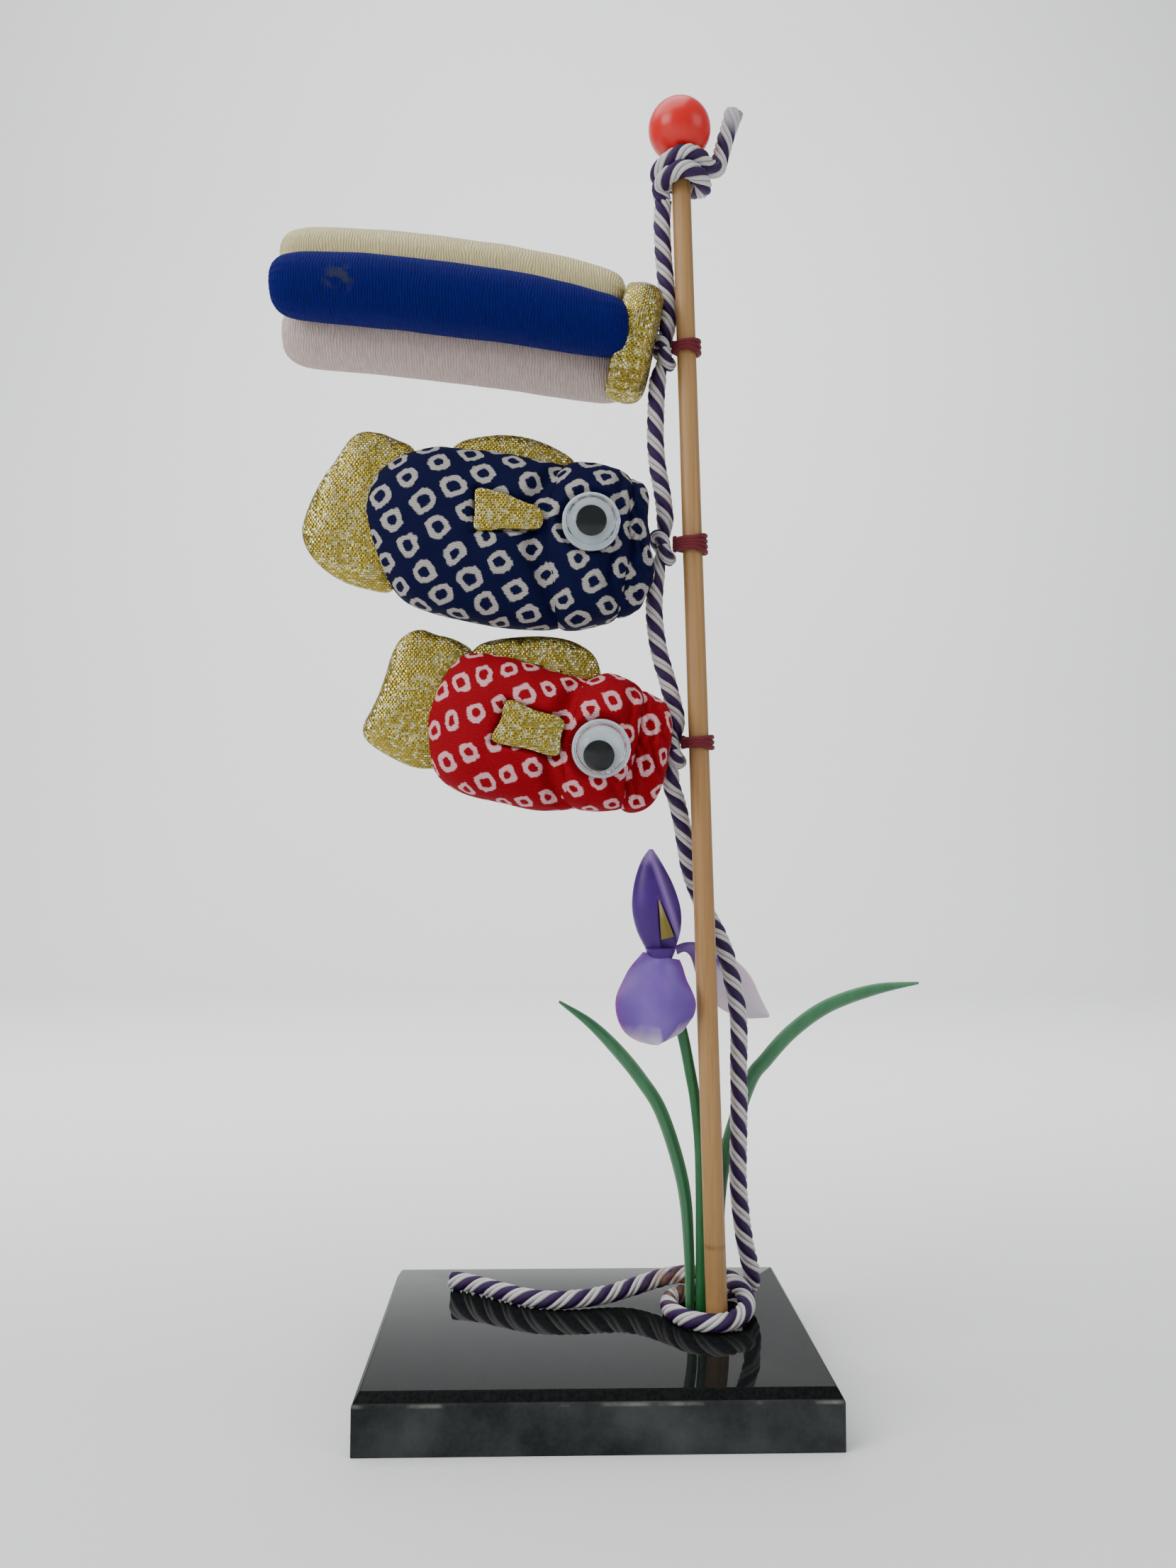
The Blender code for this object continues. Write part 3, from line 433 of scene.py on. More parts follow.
def twisted_cord(line, length, diameter, width_at=None, phase=0.0, closed=False):
    """A cord laid left-handed from groups of one thick purple yarn and two white ones."""
    frames = cross_frames(line, closed)
    steps = len(line) - 1
    turns = length / CORD_LAY * 3.2 / diameter
    if closed:
        # The groups have to meet where the loop closes, so it holds whole parts of a turn,
        # less what the frame itself has turned.
        start, end = frames[0], frames[-1]
        gained = math.atan2(end[0].dot(start[1]), end[0].dot(start[0]))
        turns = round(turns * CORD_STARTS) / CORD_STARTS - gained / math.tau

    def place(turn, run):
        index = round(run * steps)
        across, other = frames[index]
        share = turn * CORD_STARTS % 1
        low, high = next((low, high) for low, high in zip(YARN_ENDS, YARN_ENDS[1:])
                         if share < high)
        crest = math.sin(math.pi * (share - low) / (high - low)) ** 0.6
        radius = diameter / 2 - YARN_DEPTH * diameter / 3.2 * (1 - crest)
        if width_at is not None:
            radius *= width_at(run * length)
        angle = math.tau * (turn + phase) - math.tau * turns * run
        return line[index] + (across * math.cos(angle) + other * math.sin(angle)) * radius

    return wrapped(CORD_STARTS * 20, steps, place,
                   lambda turn, run: (turn * CORD_STARTS, run * length), capped=not closed)


rayon, tree, shader = finish("twisted_rayon_cord", IOR=1.47, Roughness=0.5, Specular_IOR_Level=0.3)
yarn_map = add(tree, "UVMap", uv_map="UVMap").outputs[0]
split = add(tree, "SeparateXYZ", {0: yarn_map})
share = maths(tree, "FRACT", split.outputs["X"])
purple = maths(tree, "LESS_THAN", share, YARN_ENDS[1])
place = add(tree, "TexCoord").outputs["Object"]
# Filaments run along each yarn, about 0.15 mm apart, and bright flecks show where they cross.
drawn_out = add(tree, "Mapping", {"Vector": yarn_map, "Scale": (30.0, 0.9, 1.0)}).outputs[0]
filaments = noisy(tree, drawn_out, 1.6, 3.0, 0.65)
white_yarn = mixed(tree, filaments, "#9C969A", "#EDEAE8")
purple_yarn = mixed(tree, filaments, "#18042A", "#3C1558")
plain = mixed(tree, purple, white_yarn, purple_yarn)
# Painted shade: the grooves between the yarns are painted darker, as if in shadow.
in_white = maths(tree, "SUBTRACT", share, YARN_ENDS[1])
white_part = maths(tree, "DIVIDE", in_white, YARN_ENDS[2] - YARN_ENDS[1])
white_own = maths(tree, "FRACT", white_part)
purple_own = maths(tree, "DIVIDE", share, YARN_ENDS[1])
own_part = add(tree, "Mix", {"Factor": purple, "A": white_own, "B": purple_own}).outputs["Result"]
from_crest = maths(tree, "SUBTRACT", own_part, 0.5)
aside = maths(tree, "ABSOLUTE", from_crest)
groove_shade = ranged(tree, aside, 0.3, 0.5, 0.0, 0.7)
groove_shaded = mixed(tree, groove_shade, plain, "#2B2530")
# Painted light: near the top end of its tail the cord is painted pale, where light from above washes
# it out.
from_top = add(tree, "VectorMath", {0: place, 1: (25.5 * MM, -1.0 * MM, 228.0 * MM)},
               operation="DISTANCE").outputs["Value"]
painted_top_wash = ranged(tree, from_top, 5.2 * MM, 3.2 * MM, 0.0, 0.75)
yarns = mixed(tree, painted_top_wash, groove_shaded, "#B8B3B8")
# Brown glue has soaked into the loop round the pole's foot.
from_glue = add(tree, "VectorMath", {0: place, 1: (17.5 * MM, 6.5 * MM, 13.0 * MM)},
                operation="DISTANCE").outputs["Value"]
soaked = ranged(tree, from_glue, 9.5 * MM, 4.0 * MM)
blotches = noisy(tree, place, 330.0, 2.0)
blotch = ranged(tree, blotches, 0.42, 0.62, 0.0, 0.75)
stain = maths(tree, "MULTIPLY", soaked, blotch)
stained = mixed(tree, stain, yarns, "#86603C")
tree.links.new(stained, shader.inputs["Base Color"])
roughened(tree, shader, filaments, 0.6, 0.00015)

main_line, main_length = smooth_route(CORD_ROUTE, 0.5)
knot_reach = [min(range(len(main_line)), key=lambda i: (main_line[i] - Vector(knot)).length)
              * main_length / (len(main_line) - 1) for knot in TIE_KNOTS]


def squeezed_at_ties(reach):
    """The cord is pulled thin where a tie knot grips it, and loosens just before its cut end."""
    width = 1.0
    for knot in knot_reach:
        width = min(width, 0.62 + 0.38 * min(1.0, (abs(reach - knot) / 4.6) ** 2))
    return width + 0.08 * max(0.0, (reach - main_length + 4.0) / 4.0)


main_cord = finished("hanging_cord", twisted_cord(main_line, main_length, CORD_DIAMETER,
                                                   squeezed_at_ties), rayon, sharp=75)
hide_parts("cord_run_top", "cord_run_upper", "cord_run_middle", "cord_run_lower",
            "cord_foot")
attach(main_cord, "stand")

top_line, top_length = smooth_route(TOP_KNOT_ROUTE, 0.5)
top_knot = finished("top_knot_and_tail",
                    twisted_cord(top_line, top_length, CORD_DIAMETER,
                                 lambda reach: 1.0 + 0.12 * max(0.0, (reach - top_length + 4) / 4)),
                    rayon, sharp=75)
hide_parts("cord_knot_top", "cord_tail_top")
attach(top_knot, "stand")

for name, middle in zip(("windsock", "navy", "red"), TIE_KNOTS):
    # The cord makes a half hitch at each tie: its front pass slants from upper left to lower right.
    slant = Vector((-math.sin(math.radians(28)), 0.0, math.cos(math.radians(28))))
    loop_points = []
    for part in range(49):
        angle = math.tau * part / 48
        bulge = Vector((0.35 * math.sin(2 * angle), -1.75 * math.cos(angle), 0.0))
        loop_points.append(Vector(middle) + slant * 2.35 * math.sin(angle) + bulge)
    loop_length = sum((b - a).length for a, b in zip(loop_points, loop_points[1:]))
    loop = finished(name + "_tie_loop",
                    twisted_cord(loop_points, loop_length, LOOP_DIAMETER, closed=True),
                    rayon, sharp=75)
    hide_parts("cord_knot_" + name)
    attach(loop, "stand")

# Loose filaments stand out of the two cut ends, a few millimetres long.
frayed_rayon, tree, shader = finish("frayed_rayon_filaments", Base_Color=linear("#D9D4D6"),
                                    Roughness=0.6, Alpha=1.0)
for name, end, before, count in (("tail_end_fray", main_line[-1], main_line[-6], 70),
                                 ("top_end_fray", top_line[-1], top_line[-6], 46)):
    data = bmesh.new()
    ahead = (end - before).normalized()
    for number in range(count):
        seed = Vector((number * 0.73, number * 1.31, 4.2))
        scatter = noise.noise_vector(seed) * 2.2
        root = end - ahead * 0.8 + (scatter - ahead * scatter.dot(ahead)) * 0.75
        tip_way = (ahead * 1.0 + noise.noise_vector(seed * 3) * 1.1
                   + Vector((0.0, 0.0, 0.35))).normalized()
        reach = 1.3 + 1.2 * abs(noise.noise(seed * 5))
        side = tip_way.orthogonal().normalized() * 0.05
        corners = []
        for share, width in ((0.0, 1.0), (0.5, 0.9), (1.0, 0.35)):
            droop = Vector((0.0, 0.0, -0.35 * share ** 2))
            spot = root + tip_way * reach * share + droop
            corners.append((data.verts.new((spot - side * width) * MM),
                            data.verts.new((spot + side * width) * MM)))
        for (a, b), (c, d) in zip(corners, corners[1:]):
            data.faces.new((a, b, d, c))
    bmesh.ops.solidify(data, geom=data.faces[:], thickness=0.06 * MM)
    fray = finished(name, data, frayed_rayon)
    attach(fray, "stand")


# Thread: three short bindings of maroon sewing thread hold the cord to the pole, a few turns each,
# drawn tight into the tie knots and fixed with a drop of glue.
THREAD_DIAMETER = 0.95
BINDINGS = [("windsock", 182.5, 3, 1.05, 14.1), ("navy", 146.4, 4, 1.0, 14.3),
            ("red", 110.7, 3, 0.95, 15.7)]

thread_maroon, tree, shader = finish("maroon_polyester_thread", Roughness=0.6,
                                    Specular_IOR_Level=0.3)
yarn_map = add(tree, "UVMap", uv_map="UVMap").outputs[0]
# The thread is a left-handed twist with a ply about every 0.6 mm.
plies = add(tree, "Mapping", {"Vector": yarn_map, "Scale": (1.0, 1.0, 1.0),
                              "Rotation": (0.0, 0.0, math.radians(38))}).outputs[0]
ply = add(tree, "TexWave", {"Vector": plies, "Scale": 1.5, "Distortion": 0.6},
          wave_type="BANDS").outputs["Fac"]
tint = mixed(tree, ply, "#480C13", "#822733")
tree.links.new(tint, shader.inputs["Base Color"])
roughened(tree, shader, ply, 0.6, 0.00015)

for name, height, turns, pitch, anchor in BINDINGS:
    line = []
    steps = turns * 28
    for number in range(steps + 1):
        angle = math.tau * turns * number / steps + math.pi
        rise = height + pitch * turns * (number / steps - 0.5)
        spread = 0.55 + 0.45 * max(0.0, math.cos(angle))
        rise = height + (rise - height) * spread
        centre = pole_axis(rise)
        reach = pole_radius(rise) + THREAD_DIAMETER / 2 + 0.08
        left = max(reach, centre.x - anchor)
        width = left if math.cos(angle) < 0 else reach
        line.append(centre + Vector((width * math.cos(angle), reach * math.sin(angle), 0.0)))
    frames = cross_frames(line)
    binding_length = sum((b - a).length for a, b in zip(line, line[1:]))

    def on_thread(turn, run):
        across, other = frames[round(run * steps)]
        angle = math.tau * turn
        spoke = across * math.cos(angle) + other * math.sin(angle)
        return line[round(run * steps)] + spoke * THREAD_DIAMETER / 2

    binding = finished(name + "_thread_binding",
                       wrapped(8, steps, on_thread,
                               lambda turn, run: (turn * 3.0, run * binding_length)),
                       thread_maroon)
    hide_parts("thread_winding_" + name)
    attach(binding, "stand")


# Windsock: three tubes of ribbed silk crepe stuffed with cotton wool, blue in front, beige satin
# above and pinkish white below. They lie against each other and are sewn to one collar.
WINDSOCK_TIE = Vector((13.0, -1.0, 183.0))
ROLL_RADIUS = 5.95
ROLL_LINE = [
    (-70.6, 7.5, 0.0), (-70.5, 7.5, 0.34), (-69.9, 7.5, 0.60), (-68.6, 7.5, 0.80),
    (-66.6, 7.4, 0.92), (-63.0, 7.3, 0.99), (-53.0, 6.8, 1.03), (-44.0, 6.0, 1.04),
    (-30.0, 4.4, 1.03), (-20.0, 2.8, 1.0), (-13.0, 1.5, 0.93), (-10.0, 1.0, 0.86),
    (-8.2, 0.7, 0.7), (-7.4, 0.6, 0.4), (-7.2, 0.6, 0.0)]
ROLLS = [("blue", -6.6, 0.0), ("beige", 2.1, 8.75), ("white", 4.9, -4.2)]


def crepe(name, dark, light, rib_sheen, roughness, shine, rib=0.5):
    """Ribbed crepe: fine ridges a rib apart across the tube, with slubs in the yarn, and a painted
    sheen on the rib crests.
    """
    material, tree, shader = finish(name, Roughness=roughness, Specular_IOR_Level=shine)
    cloth_map = add(tree, "UVMap", uv_map="UVMap").outputs[0]
    wander = add(tree, "TexNoise", {"Vector": cloth_map, "Scale": 0.25, "Detail": 2.0})
    bent = add(tree, "VectorMath", {0: wander.outputs["Color"], 1: (0.0, 1.6, 0.0), 2: cloth_map},
               operation="MULTIPLY_ADD").outputs["Vector"]
    ribs = add(tree, "TexWave", {"Vector": bent, "Scale": math.tau / 20 / rib,
                                 "Distortion": 1.2, "Detail": 2.0, "Detail Scale": 1.6},
               bands_direction="Y").outputs["Fac"]
    slub_map = add(tree, "Mapping", {"Vector": cloth_map, "Scale": (0.5, 2.0, 1.0)}).outputs[0]
    slubs = noisy(tree, slub_map, 0.9, 4.0, 0.7)
    nap = add(tree, "MapRange", {"Value": slubs, "From Min": 0.3, "From Max": 0.75}).outputs[0]
    base = mixed(tree, nap, linear(dark), linear(light))
    # Painted sheen: the rib crests are mixed towards a lighter colour.
    rib_sheen_share = maths(tree, "MULTIPLY", ribs, 0.35)
    ribbed_with_sheen = mixed(tree, rib_sheen_share, base, linear(rib_sheen))
    tree.links.new(ribbed_with_sheen, shader.inputs["Base Color"])
    relief = maths(tree, "MULTIPLY_ADD", slubs, 0.5, ribs)
    roughened(tree, shader, relief, 0.7, 0.00012)
    return material, tree, shader, ribbed_with_sheen


# The returned colour, dyed, includes the painted sheen on the rib crests.
blue_crepe, tree, shader, dyed = crepe("blue_silk_crepe", "#02043E", "#050A5C", "#0C157A",
                                       0.85, 0.1)
# A dull brown stain, two small blots about 3 mm across, has dried on the front of the blue roll.
place = add(tree, "TexCoord").outputs["Object"]
from_blot = add(tree, "VectorMath", {0: place, 1: (-44.7 * MM, -13.5 * MM, 189.3 * MM)},
                operation="DISTANCE").outputs["Value"]
patchy = noisy(tree, place, 620.0, 1.0)
near_blot = ranged(tree, from_blot, 3.2 * MM, 1.4 * MM)
patch = ranged(tree, patchy, 0.48, 0.6, 0.0, 0.8)
blot = maths(tree, "MULTIPLY", near_blot, patch)
blotted = mixed(tree, blot, dyed, "#2E3242")
tree.links.new(blotted, shader.inputs["Base Color"])
beige_satin = crepe("beige_satin_crepe", "#9C8F5C", "#BFB27C", "#E8DFB2", 0.45, 0.4)[0]
white_crepe = crepe("pinkish_white_crepe", "#9E8983", "#BFAEA8", "#DACBC5", 0.8, 0.2)[0]

roll_cloths = {"blue": blue_crepe, "beige": beige_satin, "white": white_crepe}
roll_spine, roll_length = smooth_route([(x, z, share) for x, z, share in ROLL_LINE], 0.6)
for name, depth, rise in ROLLS:
    steps = len(roll_spine) - 1

    def on_roll(turn, run):
        x, z, share = roll_spine[round(run * steps)]
        angle = math.tau * turn
        spoke = Vector((0.0, math.cos(angle), math.sin(angle)))
        seed = Vector((x * 0.16, math.cos(angle) * 1.4, math.sin(angle) * 1.4 + rise))
        gather = 0.16 * (1 - max(0.0, share)) * math.sin(19 * angle + 3 * noise.noise(seed))
        radius = ROLL_RADIUS * max(0.0, share) * (1 + gather * 0.5) + 0.16 * noise.noise(seed)
        if share <= 0.02:
            radius = 0.0
        return WINDSOCK_TIE + Vector((x, depth, z + rise)) + spoke * radius

    roll = finished(name + "_crepe_roll",
                    wrapped(80, steps, on_roll,
                            lambda turn, run: (turn * 37.4, run * roll_length), capped=False),
                    roll_cloths[name], sharp=70)
    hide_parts("windsock_roll_" + name)
    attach(roll, "windsock")


# Collar: a strip of gold lame knit, gathered tight on a thread at the cord so that it puffs out
# over the three rolls' ends. The lame is woven with flat foil yarn, and it glitters in rows through
# painted glints on random floats.
COLLAR_MIDDLE = Vector((-6.0, 0.4, 0.9))
COLLAR_REACH = (9.9, 10.4)
COLLAR_TILT = math.radians(12)
COLLAR_PROFILE = [(3.4, 0.0), (3.5, 0.18), (3.7, 0.5), (3.6, 0.78), (2.9, 0.93), (1.6, 1.0),
                  (0.0, 1.02), (-1.6, 1.0), (-2.9, 0.96), (-3.4, 0.88), (-3.2, 0.78), (-1.0, 0.7),
                  (0.0, 0.35), (0.2, 0.0)]

gold_lame, tree, shader = finish("woven_gold_lame", Metallic=1.0, Roughness=0.27)
cloth_map = add(tree, "UVMap", uv_map="UVMap").outputs[0]
split = add(tree, "SeparateXYZ", {0: cloth_map})
# Flat foil yarn lies in short floats 0.7 mm long, in rows 0.43 mm apart, like laid bricks.
uneven = add(tree, "TexNoise", {"Vector": cloth_map, "Scale": 0.3, "Detail": 2.0})
bent = add(tree, "VectorMath", {0: uneven.outputs["Color"], 1: (0.8, 0.8, 0.0), 2: cloth_map},
           operation="MULTIPLY_ADD").outputs["Vector"]
split = add(tree, "SeparateXYZ", {0: bent})
rows = maths(tree, "DIVIDE", split.outputs["Y"], 0.43)
row = maths(tree, "FLOOR", rows)
start = maths(tree, "MULTIPLY", row, 0.5)
floats = maths(tree, "MULTIPLY_ADD", split.outputs["X"], 1 / 0.7, start)
foil_float = maths(tree, "FLOOR", floats)
own_cell = add(tree, "CombineXYZ", {0: foil_float, 1: row}).outputs[0]
own = add(tree, "TexWhiteNoise", {"Vector": own_cell}, noise_dimensions="2D")
edges = []
for place_in, sharpness in ((floats, 3.0), (rows, 4.0)):
    part = maths(tree, "FRACT", place_in)
    off = maths(tree, "SUBTRACT", part, 0.5)
    wide = maths(tree, "ABSOLUTE", off)
    doubled = maths(tree, "MULTIPLY", wide, 2.0)
    edges.append(add(tree, "Math", {0: doubled, 1: sharpness}, operation="POWER").outputs[0])
gap = maths(tree, "MAXIMUM", edges[0], edges[1])
# Painted glints: random floats are painted bright, and the gaps between floats are painted dark as
# shade.
painted_glint = ranged(tree, own.outputs["Value"], 0.6, 1.0, 0.0, 0.7)
foil_with_glints = mixed(tree, painted_glint, "#A4923F", "#FCFBCC")
gap_shade = maths(tree, "MULTIPLY", gap, 0.7)
woven = mixed(tree, gap_shade, foil_with_glints, "#4E3E12")
tree.links.new(woven, shader.inputs["Base Color"])
relief = maths(tree, "SUBTRACT", 1.0, gap)
bump = add(tree, "Bump", {"Height": relief, "Strength": 0.7, "Distance": 0.0001})
# Each float lies a little askew, so it catches the light on its own.
askew = add(tree, "VectorMath", {0: own.outputs["Color"], 1: (0.5, 0.5, 0.5)},
            operation="SUBTRACT").outputs["Vector"]
tilt = add(tree, "VectorMath", {0: askew, 1: (0.42, 0.42, 0.42), 2: bump.outputs["Normal"]},
           operation="MULTIPLY_ADD").outputs["Vector"]
facing = add(tree, "VectorMath", {0: tilt}, operation="NORMALIZE").outputs["Vector"]
tree.links.new(facing, shader.inputs["Normal"])

collar_line, collar_length = smooth_route([(x, share * 10, 0.0) for x, share in COLLAR_PROFILE],
                                          0.35)
collar_steps = len(collar_line) - 1
collar_turn = Matrix.Rotation(COLLAR_TILT, 3, "Y")


def on_collar(turn, run):
    across, share, _ = collar_line[round(run * collar_steps)]
    share = max(0.0, share / 10)
    angle = math.tau * turn
    seed = Vector((math.cos(angle) * 2, math.sin(angle) * 2, 7.0))
    pleat = math.sin(26 * angle + 4 * noise.noise(seed))
    gather = max(0.0, 1 - abs(share - 0.45) / 0.55) * (0.25 if across > 0 else 0.0)
    lobes = 1 + 0.02 * math.cos(3 * angle - 1.2)
    reach = share * lobes * (1 + 0.012 * pleat + 0.02 * noise.noise(seed * 1.7))
    if share < 0.01:
        reach = 0.0
    spot = Vector((across + gather * pleat, math.cos(angle) * COLLAR_REACH[0] * reach,
                   math.sin(angle) * COLLAR_REACH[1] * reach))
    return WINDSOCK_TIE + COLLAR_MIDDLE + collar_turn @ spot


collar = finished("gold_lame_collar",
                  wrapped(120, collar_steps, on_collar,
                          lambda turn, run: (turn * 62.0, run * collar_length), capped=False),
                  gold_lame, sharp=80)
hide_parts("windsock_collar")
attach(collar, "windsock")


# Carp: each fish is sewn from panels of tie-dyed crepe stuffed with cotton wool: a body, a head
# that overlaps it at the gills, and a mouth band gathered to the cord. Tail and dorsal fin are
# stuffed gold lame, and a folded strip of it is laid in a pocket on each side as pectoral fin.
CARP_PLANE = -4.6
CARP_THICKNESS = 16.0
FIN_FACE = 7.3
EYE_SEAT = 6.15
EYE_REACH = 5.25
CARPS = {
    "navy": {
        "tie": (12.5, -0.6, 146.5),
        "body": [(-53.1, 6.6), (-50.9, 11.0), (-46.6, 14.2), (-41.0, 15.8), (-36.5, 15.5),
                 (-29.3, 14.9), (-22.6, 13.6), (-17.2, 12.2), (-16.6, 6.0), (-17.0, 1.0),
                 (-16.7, -5.0), (-15.9, -10.0), (-16.8, -14.6), (-19.0, -16.0), (-23.0, -16.3),
                 (-29.2, -15.9), (-35.9, -14.7), (-41.7, -13.3), (-46.4, -11.2), (-49.4, -7.3),
                 (-51.6, -2.2), (-52.9, 2.2)],
        "head": [(-17.6, 12.9), (-14.4, 13.4), (-10.0, 12.6), (-6.2, 10.4), (-6.0, 3.0),
                 (-5.8, -3.0), (-6.6, -8.5), (-8.8, -14.0), (-12.0, -15.4), (-16.5, -16.3),
                 (-18.9, -15.8), (-20.4, -13.2), (-22.1, -9.2), (-23.7, -4.4), (-24.1, 1.0),
                 (-23.6, 5.2), (-21.0, 9.6)],
        "mouth": [(-8.0, 10.4), (-6.0, 10.7), (-3.8, 9.6), (-3.1, 7.0), (-3.3, 3.4),
                  (-2.9, 0.4), (-3.0, -1.2), (-2.3, -3.8), (-2.2, -7.0), (-3.5, -9.9),
                  (-5.0, -12.6), (-9.0, -13.9), (-10.8, -8.6), (-9.8, -3.0), (-9.8, 3.0)],
        "tail": [(-54.1, 18.7), (-51.3, 18.6), (-48.2, 17.6), (-44.6, 15.4), (-46.0, 10.0),
                 (-48.0, 4.0), (-47.0, -3.0), (-46.8, -7.0), (-48.2, -9.5), (-50.4, -9.9),
                 (-56.0, -8.5), (-60.4, -5.9), (-63.2, -2.6), (-64.2, 0.8), (-63.3, 4.7),
                 (-61.4, 9.0), (-58.4, 13.8), (-56.2, 17.2)],
        "dorsal": [(-38.6, 14.6), (-37.4, 16.6), (-34.7, 17.8), (-29.3, 18.5), (-24.9, 18.1),
                   (-20.3, 16.5), (-16.4, 13.9), (-17.4, 11.6), (-22.5, 11.4), (-29.3, 12.7),
                   (-36.0, 13.0)],
        "pectoral": [(-33.2, 6.6), (-29.0, 6.0), (-25.5, 4.6), (-22.2, 3.1), (-22.4, -0.1),
                     (-27.7, -0.3), (-33.3, -0.5), (-33.5, 3.0)],
        "eye": (-13.6, 1.2), "pupil": (0.0, 0.0),
    },
    "red": {
        "tie": (14.8, -0.8, 109.5),
        "body": [(-36.9, 16.2), (-31.3, 15.8), (-25.0, 14.1), (-19.7, 12.5), (-14.9, 11.4),
                 (-13.4, 8.0), (-14.6, 3.0), (-16.3, -2.0), (-16.6, -6.0), (-17.0, -9.8),
                 (-18.8, -10.9), (-24.9, -11.2), (-31.2, -9.9), (-36.6, -8.7), (-40.2, -7.1),
                 (-42.6, -4.7), (-43.7, -1.1), (-44.2, 3.6), (-43.6, 7.2), (-41.8, 11.3),
                 (-39.6, 14.5)],
        "head": [(-14.6, 12.4), (-12.6, 12.9), (-10.2, 12.3), (-6.6, 9.9), (-6.4, 4.5),
                 (-7.4, -1.6), (-9.2, -6.5), (-9.8, -10.3), (-12.2, -11.2), (-16.5, -11.2),
                 (-19.4, -10.4), (-21.6, -9.0), (-23.2, -4.9), (-23.0, -1.8), (-20.9, 5.2),
                 (-18.7, 9.9)],
        "mouth": [(-8.4, 9.9), (-6.4, 9.9), (-4.9, 9.3), (-2.4, 7.6), (-1.4, 4.7), (-1.4, 1.6),
                  (-2.0, -1.4), (-2.6, -5.1), (-4.2, -9.1), (-6.7, -11.2), (-10.0, -11.1),
                  (-12.6, -6.7), (-11.4, -1.8), (-9.8, 3.4)],
        "tail": [(-45.6, 20.5), (-42.6, 19.6), (-39.1, 18.6), (-36.4, 16.6), (-37.6, 13.0),
                 (-39.0, 8.0), (-39.6, 3.6), (-39.6, -1.2), (-41.0, -3.9), (-43.4, -4.0),
                 (-46.8, -3.7), (-51.6, -1.4), (-54.8, 1.0), (-55.3, 3.5), (-53.5, 7.2),
                 (-51.9, 11.3), (-50.6, 15.8), (-48.7, 19.1)],
        "dorsal": [(-36.6, 15.2), (-35.4, 17.8), (-31.3, 19.0), (-25.0, 19.5), (-19.7, 18.9),
                   (-15.9, 17.0), (-14.2, 14.4), (-14.4, 11.2), (-19.7, 10.6), (-25.0, 12.2),
                   (-31.3, 13.8)],
        "pectoral": [(-29.9, 7.2), (-25.4, 5.6), (-20.6, 4.0), (-20.9, 1.0), (-21.6, -2.2),
                     (-27.0, -1.0), (-32.5, 0.3), (-31.2, 3.8)],
        "eye": (-14.1, -0.9), "pupil": (-0.4, -1.3),
    },
}


